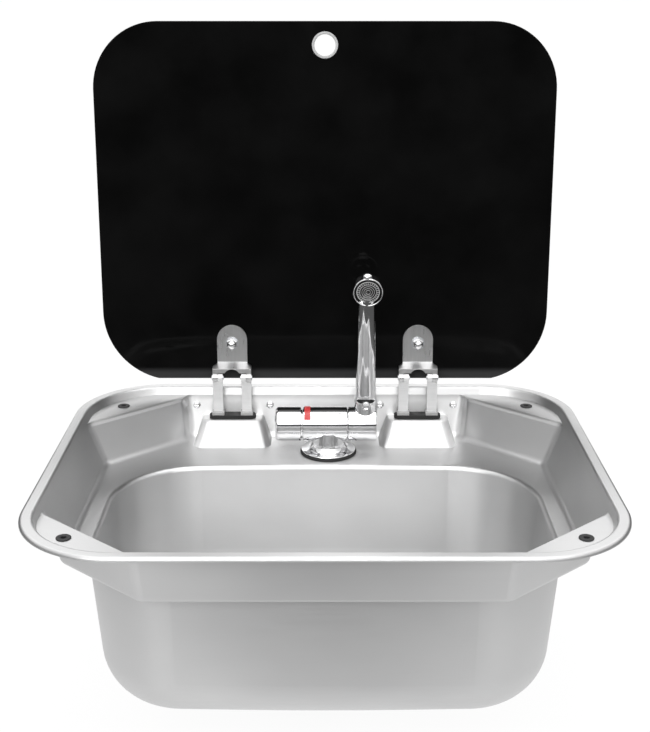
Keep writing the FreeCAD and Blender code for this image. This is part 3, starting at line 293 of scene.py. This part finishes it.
def brushed(tree, shader, amount):
    """Brush lines run round the upright axis and spread what they mirror across them."""
    tangent = tree.nodes.new("ShaderNodeTangent")
    tangent.direction_type = "RADIAL"
    tangent.axis = "Z"
    feed(tree, tangent.outputs["Tangent"], shader.inputs["Tangent"])
    shader.inputs["Anisotropic"].default_value = amount
    shader.inputs["Anisotropic Rotation"].default_value = QUARTER_TURN


def painted_bay_highlight(tree, sheet):
    """A painted highlight on the wall behind the tap, between the shelf and the rim: a
    brighter tone in place of the light that the wall mirrors.
    """
    parts = own_parts(tree)
    back = fade(tree, parts["Y"], BAY_HIGHLIGHT_DEPTHS, 0.0, 1.0)
    below_rim = fade(tree, parts["Z"], BAY_HIGHLIGHT_HEIGHTS, 1.0, 0.0)
    # painted highlight: the base colour turns pale near the wall behind the tap, below the rim
    return blend(tree, math_node(tree, "MULTIPLY", back, below_rim), sheet, grey(0.88))


def pressed_steel():
    """Satin stainless sheet with fine brush lines along the sink's length."""
    material, shader = new_material("pressed_steel", grey(0.6), 1.0, 0.4)
    tree = material.node_tree
    brush = grain(tree, (5, 1600, 1600), detail=3)
    cloud = grain(tree, (9, 9, 14), detail=2)
    sheet = tint(tree, cloud, dark=(0.63, 0.63, 0.632), light=grey(0.67))
    # the wall behind the tap gets a painted highlight in its base colour
    feed(tree, painted_bay_highlight(tree, sheet), shader.inputs["Base Color"])
    feed(tree, spread(tree, brush, 0.38, 0.46), shader.inputs["Roughness"])
    relief(tree, shader, brush, strength=0.04)
    brushed(tree, shader, amount=0.75)
    return material


def zinc_steel():
    """Zinc plating: flakes in the tone and a finer grain in the roughness."""
    material, shader = new_material("zinc_steel", (0.62, 0.63, 0.65), 1.0, 0.4)
    tree = material.node_tree
    cells = flakes(tree, size=2.5 * MM)
    fine = grain(tree, 500, detail=3)
    feed(tree, tint(tree, cells, dark=(0.6, 0.61, 0.63), light=(0.66, 0.67, 0.69)),
         shader.inputs["Base Color"])
    feed(tree, spread(tree, fine, 0.32, 0.5), shader.inputs["Roughness"])
    relief(tree, shader, fine, strength=0.15)
    return material


def dark_glass():
    """Toughened pane with a black back; a painted reflection makes it grey at the hinged edge,
    fading into the black.
    """
    material, shader = new_material("smoked_glass", grey(0.003), 0.0, 0.05, specular=0.05)
    tree = material.node_tree
    wiped = grain(tree, 18, detail=3)
    black = tint(tree, wiped, dark=grey(0.002), light=grey(0.004))
    # painted reflection: grey along the hinged edge, blending into the black higher up
    painted_reflection_band = fade(tree, own_parts(tree)["Z"], GLASS_REFLECTION_HEIGHTS, 1.0, 0.0)
    feed(tree, blend(tree, painted_reflection_band, black, (0.035, 0.035, 0.036)),
         shader.inputs["Base Color"])
    feed(tree, spread(tree, wiped, 0.03, 0.09), shader.inputs["Roughness"])
    return material


def aerator_plastic():
    """Dark moulding whose ridges, nearer the outlet's mouth, carry a painted pale highlight
    against the dark grooves.
    """
    material, shader = new_material("aerator_plastic", grey(0.03), 0.0, 0.45, specular=0.15)
    tree = material.node_tree
    depth = tree.nodes.new("ShaderNodeVectorMath")
    depth.operation = "DOT_PRODUCT"
    tree.links.new(own_place(tree), depth.inputs[0])
    depth.inputs[1].default_value = HEAD_AXIS
    face = HEAD_PLACE.dot(HEAD_AXIS)
    # painted highlight: the ridge tops nearest the mouth turn pale, the grooves stay dark
    painted_ridge_highlight = fade(tree, depth.outputs["Value"], (face + RIDGE_HIGHLIGHT_START, face + RIDGE_HIGHLIGHT_END), 0.0, 1.0)
    cloud = grain(tree, 700, detail=2)
    dark = tint(tree, cloud, dark=grey(0.008), light=grey(0.014))
    feed(tree, blend(tree, painted_ridge_highlight, dark, grey(0.4)), shader.inputs["Base Color"])
    feed(tree, spread(tree, cloud, 0.4, 0.52), shader.inputs["Roughness"])
    return material


def rubber(name, dark, light):
    return patterned(name, dark, 0.0, 0.65, cloud=(90, 3), tones=(dark, light),
                     rough=(0.5, 0.75), specular=0.35, bump=(1400, 2, 0.25))


def moulded(name, dark, light, roughness):
    """Moulded plastic with a slight orange-peel surface."""
    return patterned(name, dark, 0.0, roughness, cloud=(120, 3), tones=(dark, light),
                     rough=(roughness - 0.08, roughness + 0.08), bump=(900, 1, 0.12))


FINISHES = {
    "pressed_steel": pressed_steel(),
    "hinge_steel": patterned(
        "hinge_steel", grey(0.6), 1.0, 0.3, cloud=((500, 60, 60), 3),
        tones=(grey(0.6), grey(0.66)), rough=(0.27, 0.31), bump=((500, 60, 60), 3, 0.015)),
    "leg_steel": patterned(
        "leg_steel", grey(0.93), 0.6, 0.35, cloud=((60, 60, 500), 3),
        tones=(grey(0.9), grey(0.95)), rough=(0.32, 0.38)),
    "chrome": patterned(
        "chrome", (0.8, 0.8, 0.81), 1.0, 0.05, cloud=(60, 3),
        tones=((0.78, 0.78, 0.79), (0.86, 0.86, 0.865)), rough=(0.03, 0.075)),
    "bright_metal": patterned(
        "bright_metal", grey(0.85), 1.0, 0.12, cloud=(300, 4),
        tones=((0.78, 0.78, 0.79), grey(0.9)), rough=(0.08, 0.2)),
    "zinc_steel": zinc_steel(),
    "smoked_glass": dark_glass(),
    "seal_rubber": rubber("seal_rubber", grey(0.02), grey(0.035)),
    "gasket_rubber": rubber("gasket_rubber", grey(0.012), grey(0.025)),
    "buffer_rubber": rubber("buffer_rubber", (0.015, 0.015, 0.016), grey(0.03)),
    "pad_rubber": rubber("pad_rubber", grey(0.05), grey(0.08)),
    "grey_plastic": moulded("grey_plastic", grey(0.33), grey(0.42), roughness=0.42),
    "black_plastic": moulded("black_plastic", grey(0.018), grey(0.03), roughness=0.4),
    "aerator_plastic": aerator_plastic(),
    "red_mark": moulded("red_mark", (0.55, 0.05, 0.05), (0.66, 0.09, 0.085), roughness=0.3),
}


def finish_cad_nodes():
    """Give every CAD node the finish of its slot in the record."""
    slots = {part["node"]: part["material_slot"] for part in frame["record"]["subparts"]}
    for name, node in NODES.items():
        for place in node.material_slots:
            place.material = FINISHES[slots[name]]


# ---------------------------------------------------------------- modelling

def deselect_everything():
    if bpy.context.mode != "OBJECT":
        bpy.ops.object.mode_set(mode="OBJECT")
    bpy.ops.object.select_all(action="DESELECT")


def select_only(piece):
    deselect_everything()
    piece.select_set(True)
    bpy.context.view_layer.objects.active = piece


def edit_whole_mesh():
    bpy.ops.object.mode_set(mode="EDIT")
    bpy.ops.mesh.select_all(action="SELECT")


def turned(name, start, axis, profile, sides=ROUND, hollow=False):
    """A piece turned about a line, from (distance along it, radius) steps in mm."""
    deselect_everything()
    start = Vector(start)
    at, radius = profile[0]
    bpy.ops.mesh.primitive_circle_add(
        vertices=sides, radius=radius * MM, fill_type="NOTHING" if hollow else "NGON",
        location=start + axis * at * MM, rotation=axis.to_track_quat("Z", "Y").to_euler())
    piece = bpy.context.active_object
    piece.name = name
    edit_whole_mesh()
    extrude = bpy.ops.mesh.extrude_edges_move if hollow else bpy.ops.mesh.extrude_region_move
    for distance, width in profile[1:]:
        extrude(TRANSFORM_OT_translate={"value": axis * (distance - at) * MM})
        scale = width / radius
        bpy.ops.transform.resize(value=(scale, scale, scale),
                                 center_override=start + axis * distance * MM)
        at, radius = distance, width
    bpy.ops.mesh.select_all(action="SELECT")
    bpy.ops.mesh.normals_make_consistent(inside=False)
    bpy.ops.object.mode_set(mode="OBJECT")
    return piece


def rounded_box(name, low, high, width):
    """A block between two corners with all its edges rounded."""
    deselect_everything()
    middle = (low + high) / 2
    bpy.ops.mesh.primitive_cube_add(size=1, location=middle)
    piece = bpy.context.active_object
    piece.name = name
    edit_whole_mesh()
    bpy.ops.transform.resize(value=tuple(high - low), center_override=middle)
    bpy.ops.mesh.bevel(offset=width, segments=EDGE_SEGMENTS, affect="EDGES")
    bpy.ops.object.mode_set(mode="OBJECT")
    return piece


def soften(piece, width):
    """Round the piece's sharp edges with a bevel that is then applied."""
    select_only(piece)
    bevel = piece.modifiers.new("rounding", "BEVEL")
    bevel.width = width
    bevel.segments = EDGE_SEGMENTS
    bevel.limit_method = "ANGLE"
    bevel.angle_limit = EDGE_ANGLE
    bevel.harden_normals = False
    bpy.ops.object.modifier_apply(modifier=bevel.name)


def merge(pieces, name):
    """Join pieces into one object."""
    deselect_everything()
    for piece in pieces:
        piece.select_set(True)
    bpy.context.view_layer.objects.active = pieces[0]
    bpy.ops.object.join()
    joined = bpy.context.active_object
    joined.name = name
    return joined


def copy_at(piece, name, offset):
    """A copy with its own mesh, moved by an offset."""
    select_only(piece)
    bpy.ops.object.duplicate(linked=False)
    twin = bpy.context.active_object
    twin.name = name
    bpy.ops.transform.translate(value=offset)
    return twin


def turn(piece, angle, axis, centre):
    """Turn a piece about a line through a point, by the right-hand rule."""
    turning = Matrix.Translation(centre) @ Matrix.Rotation(angle, 4, axis)
    piece.matrix_world = turning @ Matrix.Translation(-Vector(centre)) @ piece.matrix_world
    bpy.context.view_layer.update()


def finished(piece, finish, body, node=None):
    """Place the piece in its mesh, shade it and hand it to its body in place of its node.
    """
    select_only(piece)
    bpy.ops.object.transform_apply(location=True, rotation=True, scale=True)
    edit_whole_mesh()
    bpy.ops.mesh.remove_doubles(threshold=WELD)
    bpy.ops.mesh.normals_make_consistent(inside=False)
    bpy.ops.object.mode_set(mode="OBJECT")
    bpy.ops.object.shade_smooth_by_angle(angle=SMOOTH_ANGLE)
    piece.data.materials.clear()
    piece.data.materials.append(FINISHES[finish])
    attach(piece, body)
    if node:
        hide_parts(node)
    return piece


# ---------------------------------------------------------------------- tap

def tap_barrel():
    """Cross barrel, its flared foot and the shank that passes through the shelf."""
    left = Vector((BARREL_LEFT, TAP_AXIS_Y, TAP_AXIS_Z))
    length = (BARREL_RIGHT - BARREL_LEFT) / MM
    left_end = [(along, TAP_R - below) for along, below in BARREL_END]
    right_end = [(length - along, radius) for along, radius in reversed(left_end)]
    barrel = turned("tap_barrel", left, X_AXIS, left_end + right_end)
    foot_place = Vector((FOOT_X, TAP_AXIS_Y, FOOT_Z))
    foot = turned("tap_foot", foot_place, Z_AXIS, [
        (0, 27.3), (0.3, 27.8), (0.8, 28.0), (1.4, 27.7), (1.8, 26.8), (2.1, 25.2),
        (2.4, 23.4), (3.0, 21.6), (4.0, 20.2), (5.6, 19.0), (7.6, 18.2), (10.0, 17.7),
        (13.0, 17.5), (FOOT_REACH, 17.5)])
    shank = turned("tap_shank", foot_place, -Z_AXIS, [
        (0, 15.5), (SHANK_REACH - 0.6, 15.5), (SHANK_REACH, 14.9)])
    body = merge([barrel, foot, shank], "tap_barrel")
    return finished(body, "chrome", "sink", "tap_body")


def tap_foot_ring():
    """Black ring that seals the tap's foot on the shelf."""
    place = Vector((FOOT_X, TAP_AXIS_Y, SHELF_Z))
    ring = turned("tap_foot_ring", place, Z_AXIS, [
        (0, 28.4), (0.4, 28.9), (1.3, 29.0), (2.3, 28.8), (2.8, 28.4), (3.0, 27.6),
        (3.0, 22.0)])
    return finished(ring, "gasket_rubber", "sink", "tap_gasket")


def knob():
    """Knob at the barrel's left end, on a stem that enters the barrel."""
    left = Vector((KNOB_LEFT, TAP_AXIS_Y, TAP_AXIS_Z))
    end = (BARREL_LEFT - KNOB_LEFT) / MM - KNOB_GAP
    piece = turned("tap_knob_turned", left, X_AXIS, [
        (0, 6.0), (0, 12.6), (0.25, 14.4), (0.8, 15.9), (1.7, 17.1), (2.9, 17.8),
        (4.2, TAP_R), (end - 1.1, TAP_R), (end - 0.4, TAP_R - 0.2), (end, TAP_R - 0.9),
        (end, TAP_R - 2.5), (end + 1.2, TAP_R - 2.5), (end + 1.2, 9.0), (end + 10.4, 9.0)])
    return finished(piece, "chrome", "knob", "tap_knob")


def hub():
    """Round hub at the barrel's right end, which turns with the spout."""
    left = Vector((BARREL_RIGHT + HUB_GAP * MM, TAP_AXIS_Y, TAP_AXIS_Z))
    end = (HUB_RIGHT - BARREL_RIGHT) / MM - HUB_GAP
    left_end = [(along, TAP_R - below) for along, below in BARREL_END]
    body = turned("hub_barrel", left, X_AXIS, left_end + [
        (end - 1.2, TAP_R), (end - 0.5, TAP_R - 0.25), (end - 0.1, TAP_R - 0.8),
        (end, TAP_R - 1.6), (end - 0.3, TAP_R - 2.2), (end - 0.3, 4.0)])
    stem = turned("hub_stem", left, -X_AXIS, [(0, 9.0), (9.0, 9.0), (9.5, 8.5)])
    return finished(merge([body, stem], "spout_hub_turned"), "chrome", "spout", "spout_hub")


def pipe():
    """Tapered pipe with a stout foot that grows out of the hub."""
    low = Vector((PIPE_X, TAP_AXIS_Y, TAP_AXIS_Z))
    piece = turned("spout_pipe", low, Z_AXIS, [
        (8.0, 12.0), (24.5, 12.0), (26.0, 11.85), (27.6, 11.4), (29.4, 10.85),
        (32.0, 10.5), (36.0, 10.35), (44.0, 10.25), (60.0, 9.95), (80.0, 9.6),
        (104.8, 9.2), (130.8, 8.8), (146.0, 8.4), (148.6, 7.8), (150.0, 6.9),
        (150.7, 5.6)])
    return finished(piece, "chrome", "spout", "spout_tube")


def head():
    """Short round housing with a thin bright lip."""
    piece = turned("spout_head_turned", HEAD_PLACE, HEAD_AXIS, [
        (-0.4, 12.6), (-0.3, 13.6), (0.1, 14.4), (0.8, 15.0), (1.8, 15.2), (10.6, 15.2),
        (11.4, 15.0), (11.9, 14.6), (12.0, 14.2), (11.8, 13.9), (11.4, 13.7), (7.6, 13.6)])
    return finished(piece, "chrome", "spout", "spout_head")


def aerator():
    """Outlet insert with ring ridges and fine spokes round its edge."""
    disc = turned("aerator_disc", HEAD_PLACE, HEAD_AXIS, [
        (7.4, 13.5), (8.4, 13.5), (8.5, 13.3), (8.5, 12.0), (8.7, 11.6), (10.9, 11.5),
        (11.1, 11.3), (11.1, 10.9), (10.9, 10.7), (9.0, 10.6), (9.0, 8.5),
        (10.9, 8.4), (11.0, 8.2), (10.9, 8.0), (9.0, 7.9), (9.0, 6.5),
        (10.9, 6.4), (11.0, 6.2), (10.9, 6.0), (9.0, 5.9), (9.0, 4.5),
        (10.9, 4.4), (11.0, 4.2), (10.9, 4.0), (9.0, 3.9), (9.0, 2.5),
        (10.9, 2.4), (11.0, 2.2), (10.9, 2.0), (9.0, 1.9), (8.8, 1.2)])
    spoke = rounded_box("aerator_spoke", HEAD_PLACE + SPOKE_LOW, HEAD_PLACE + SPOKE_HIGH,
                        SPOKE_ROUNDING)
    turn(spoke, HEAD_TILT, X_AXIS, HEAD_PLACE)
    pieces = [disc, spoke]
    for i in range(1, SPOKES):
        twin = copy_at(spoke, "aerator_spoke_%d" % i, (0, 0, 0))
        turn(twin, 2 * math.pi * i / SPOKES, HEAD_AXIS, HEAD_PLACE)
        pieces.append(twin)
    return finished(merge(pieces, "aerator_insert"), "aerator_plastic", "spout", "aerator")


def end_cap():
    """Waisted cap that closes the pipe's top, behind the housing."""
    low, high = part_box("spout_end_cap")
    foot = Vector(((low.x + high.x) / 2, (low.y + high.y) / 2, high.z - END_CAP_HEIGHT))
    piece = turned("spout_top_knob", foot, Z_AXIS, [
        (0, 4.4), (0.9, 4.5), (1.6, 4.9), (2.3, 5.2), (5.2, 5.2), (6.6, 5.0), (7.7, 4.4),
        (8.4, 3.5), (8.8, 2.4), (9.0, 1.0)])
    return finished(piece, "chrome", "spout", "spout_end_cap")


def head_stud():
    """Small domed stud on top of the outlet housing."""
    piece = turned("spout_head_stud", HEAD_PLACE + STUD_OFFSET, Z_AXIS, [
        (0, 4.9), (1.6, 5.3), (2.2, 5.5), (3.2, 5.4), (4.2, 5.0), (5.1, 4.3), (5.8, 3.4),
        (6.2, 2.4), (6.5, 1.2), (6.6, 0.3)], sides=SMALL_ROUND)
    return finished(piece, "chrome", "spout")


def screw_cover():
    """Dished round cover in the pipe's foot."""
    low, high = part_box("spout_grub_cap")
    place = Vector(((low.x + high.x) / 2, low.y + COVER_DEPTH, (low.z + high.z) / 2))
    piece = turned("spout_screw_cover", place, -Y_AXIS, [
        (0, 4.4), (2.6, 4.4), (3.1, 4.2), (3.4, 3.8), (3.4, 3.4), (3.1, 2.9), (2.7, 2.4),
        (2.5, 1.6), (2.4, 0.6)])
    return finished(piece, "chrome", "spout", "spout_grub_cap")


# ---------------------------------------------------------------------- lid

def cap_nuts():
    """Domed nuts that hold the hinges' tongues to the glass."""
    low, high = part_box("lid_washers")
    reach = (high.x - low.x) / 2 - WASHER_R * MM
    middle = Vector((-reach, (low.y + high.y) / 2, (low.z + high.z) / 2))
    seat = middle + LID_FACE * NUT_SEAT
    nut = turned("nut_hexagon", seat, LID_FACE, [
        (0, 5.7), (0.35, 6.1), (3.7, 6.1), (4.2, 5.6), (4.2, 5.1)], sides=HEXAGON)
    dome = turned("nut_dome", seat, LID_FACE, [
        (4.0, 5.15), (4.5, 5.05), (5.6, 4.9), (6.8, 4.4), (7.8, 3.6), (8.6, 2.5),
        (9.0, 1.3), (9.15, 0.4)], sides=DOME_ROUND)
    first = merge([nut, dome], "cap_nut_left")
    second = copy_at(first, "cap_nut_right", (2 * reach, 0, 0))
    both = merge([first, second], "lid_cap_nuts_domed")
    return finished(both, "bright_metal", "lid", "lid_cap_nuts")


def finger_ring():
    """Grey ring that lines the hole for a finger."""
    low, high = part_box("finger_grommet")
    piece = turned("finger_ring", (low + high) / 2, LID_FACE, [
        (-3.4, 10.9), (-3.5, 11.4), (-3.5, 12.4), (-3.3, 12.9), (-2.9, 13.0),
        (-2.5, 13.0), (-2.5, 11.6), (2.5, 11.6), (2.5, 13.0), (2.9, 13.0), (3.3, 12.9),
        (3.5, 12.4), (3.5, 11.4), (3.4, 10.9), (3.0, 10.5), (-3.0, 10.5), (-3.4, 10.9)],
        hollow=True)
    return finished(piece, "grey_plastic", "lid", "finger_grommet")


# --------------------------------------------------------- ledges and hinges

def ledge_plugs():
    """Flat rubber plugs in the corner ledges, where the shut lid rests."""
    low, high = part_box("ledge_buffers")
    x = high.x - PLUG_R * MM
    y = high.y - PLUG_R * MM
    plug = turned("ledge_plug", Vector((-x, -y, low.z)), Z_AXIS, [
        (0, 2.3), (0, 3.0), (0.7, 3.9), (1.9, 4.4), (2.4, 3.95), (3.2, 3.95), (3.2, 5.9),
        (3.35, 6.15), (3.7, 6.2), (3.95, 6.05), (4.15, 5.6), (4.2, 5.0), (4.2, 3.0),
        (4.05, 2.6), (3.6, 2.3), (0.3, 2.3)], sides=SMALL_ROUND)
    plugs = [plug]
    for side, depth in ((2 * x, 0), (0, 2 * y), (2 * x, 2 * y)):
        plugs.append(copy_at(plug, "ledge_plug_%d" % len(plugs), (side, depth, 0)))
    return finished(merge(plugs, "ledge_plugs"), "buffer_rubber", "sink", "ledge_buffers")


def edged_copy(node, finish, body, width):
    """A CAD node's own shape with its sharp edges rounded a little."""
    deselect_everything()
    source = NODES[node]
    piece = bpy.data.objects.new(node + "_edged", source.data.copy())
    bpy.context.collection.objects.link(piece)
    piece.matrix_world = source.matrix_world.copy()
    select_only(piece)
    bpy.ops.mesh.customdata_custom_splitnormals_clear()
    edit_whole_mesh()
    bpy.ops.mesh.remove_doubles(threshold=WELD)
    bpy.ops.mesh.dissolve_limited(angle_limit=FLAT_ANGLE)
    bpy.ops.object.mode_set(mode="OBJECT")
    soften(piece, width)
    finished(piece, finish, body, node)
    weighted = piece.modifiers.new("flat_faces", "WEIGHTED_NORMAL")
    weighted.weight = FACE_WEIGHT
    weighted.keep_sharp = True
    bpy.ops.object.modifier_apply(modifier=weighted.name)
    return piece


def hinge_pieces():
    """Tongues, legs, bushes and collars, each from its CAD shape."""
    for side in ("left", "right"):
        edged_copy("lid_bracket_" + side, "hinge_steel", "lid", PLATE_ROUNDING)
        edged_copy("hinge_legs_" + side, "leg_steel", "hinge_slides", PLATE_ROUNDING)
        edged_copy("guide_bushes_" + side, "grey_plastic", "sink", BUSH_ROUNDING)
        edged_copy("slot_collar_" + side, "gasket_rubber", "sink", COLLAR_ROUNDING)


# ------------------------------------------------------------------- studio

def distance_on_floor(tree, coordinates, place):
    """How far a point of the floor is from a place."""
    mapping = tree.nodes.new("ShaderNodeMapping")
    mapping.vector_type = "TEXTURE"
    mapping.inputs["Location"].default_value = (*place, 0)
    tree.links.new(coordinates, mapping.inputs["Vector"])
    length = tree.nodes.new("ShaderNodeVectorMath")
    length.operation = "LENGTH"
    tree.links.new(mapping.outputs["Vector"], length.inputs[0])
    return length.outputs["Value"]


def emission(tree, strength):
    node = tree.nodes.new("ShaderNodeEmission")
    feed(tree, strength, node.inputs["Strength"])
    return node.outputs["Emission"]


def mixed_shader(tree, share, first, second):
    """The second shader by a share, and the first for the rest."""
    node = tree.nodes.new("ShaderNodeMixShader")
    tree.links.new(share, node.inputs["Fac"])
    tree.links.new(first, node.inputs[1])
    tree.links.new(second, node.inputs[2])
    return node.outputs["Shader"]


def studio_floor():
    """White floor; metal shows it paler near the sink and darker far off, with a painted dark
    reflection in front.
    """
    floor_z = cad_bounds[0][2] - FLOOR_DROP
    bpy.ops.mesh.primitive_plane_add(size=FLOOR_SIZE, location=(0, 0, floor_z))
    floor = bpy.context.active_object
    floor.name = "studio_floor"
    material, shader = new_material("studio_white", grey(0.9), 0.0, 0.9, specular=0.0)
    tree = material.node_tree
    paper = grain(tree, 3, detail=2)
    feed(tree, tint(tree, paper, dark=grey(0.9), light=grey(0.915)),
         shader.inputs["Base Color"])
    coordinates = own_place(tree)
    # painted dark reflection: a dark patch in front of the sink, seen only in reflections
    painted_dark_reflection = fade(tree, distance_on_floor(tree, coordinates, DARK_REFLECTION_PLACE), DARK_REFLECTION_REACH,
                 DARK_REFLECTION_LEVEL, 1.0)
    far = fade(tree, distance_on_floor(tree, coordinates, (0, 0)), NEAR_TO_FAR,
               NEAR_LEVEL, FAR_LEVEL)
    mirrored = emission(tree, math_node(tree, "MULTIPLY", painted_dark_reflection, far))
    path = tree.nodes.new("ShaderNodeLightPath")
    seen = math_node(tree, "MAXIMUM", path.outputs["Is Camera Ray"],
                     path.outputs["Is Transmission Ray"])
    white = mixed_shader(tree, math_node(tree, "MULTIPLY", seen, FLOOR_GLOW),
                         shader.outputs["BSDF"], emission(tree, 1.0))
    whole = mixed_shader(tree, path.outputs["Is Glossy Ray"], white, mirrored)
    tree.links.new(whole, tree.nodes["Material Output"].inputs["Surface"])
    floor.data.materials.append(material)


def sky_levels(tree, height, stops):
    """Grey levels that follow the height of a direction."""
    ramp = tree.nodes.new("ShaderNodeValToRGB")
    elements = ramp.color_ramp.elements
    for place, level in stops[1:-1]:
        elements.new(place)
    for element, (place, level) in zip(elements, stops):
        element.position = place
        element.color = (level, level, level, 1)
    tree.links.new(height, ramp.inputs["Fac"])
    return ramp.outputs["Color"]


def studio_sky():
    """Bright above, dark low down all round and dimmer to the sides.

    The camera sees plain white instead.
    """
    world = bpy.data.worlds.new("studio_sky")
    bpy.context.scene.world = world
    world.use_nodes = True
    tree = world.node_tree
    direction = tree.nodes.new("ShaderNodeSeparateXYZ")
    tree.links.new(tree.nodes.new("ShaderNodeTexCoord").outputs["Generated"],
                   direction.inputs["Vector"])
    aside, depth, height = direction.outputs
    both = blend(tree, fade(tree, depth, FRONT_TO_BACK, 0.0, 1.0),
                 sky_levels(tree, height, FRONT_SKY), sky_levels(tree, height, BACK_SKY))
    background = tree.nodes["Background"]
    tree.links.new(both, background.inputs["Color"])
    tree.links.new(fade(tree, math_node(tree, "ABSOLUTE", aside, 0), SIDE_TURN, 1.0,
                        SIDE_LEVEL), background.inputs["Strength"])
    plain_white = tree.nodes.new("ShaderNodeBackground")
    plain_white.inputs["Strength"].default_value = 1.0
    plain_white.inputs["Color"].default_value = (1, 1, 1, 1)
    seen = tree.nodes.new("ShaderNodeLightPath").outputs["Is Camera Ray"]
    whole = mixed_shader(tree, seen, background.outputs["Background"],
                         plain_white.outputs["Background"])
    tree.links.new(whole, tree.nodes["World Output"].inputs["Surface"])


def studio_lights():
    """Softboxes turned to the rim's middle."""
    for name, place, width, height, power in SOFTBOXES:
        bpy.ops.object.light_add(type="AREA", location=place)
        lamp = bpy.context.active_object
        lamp.name = name
        lamp.rotation_euler = (-Vector(place)).to_track_quat("-Z", "Y").to_euler()
        lamp.data.shape = "RECTANGLE"
        lamp.data.size = width
        lamp.data.size_y = height
        lamp.data.energy = power


def photo_camera():
    bpy.ops.object.camera_add(location=CAMERA_PLACE)
    camera = bpy.context.active_object
    camera.name = "photo_camera"
    camera.rotation_euler = (math.pi / 2 - CAMERA_PITCH, 0, 0)
    camera.data.sensor_width = SENSOR
    camera.data.lens = FOCAL_PIXELS / PHOTO_HEIGHT * SENSOR
    bpy.context.scene.camera = camera
    bpy.context.scene.view_settings.view_transform = "Standard"


finish_cad_nodes()
tap_barrel()
tap_foot_ring()
knob()
hub()
pipe()
head()
aerator()
end_cap()
head_stud()
screw_cover()
cap_nuts()
finger_ring()
ledge_plugs()
hinge_pieces()
studio_floor()
studio_sky()
studio_lights()
photo_camera()
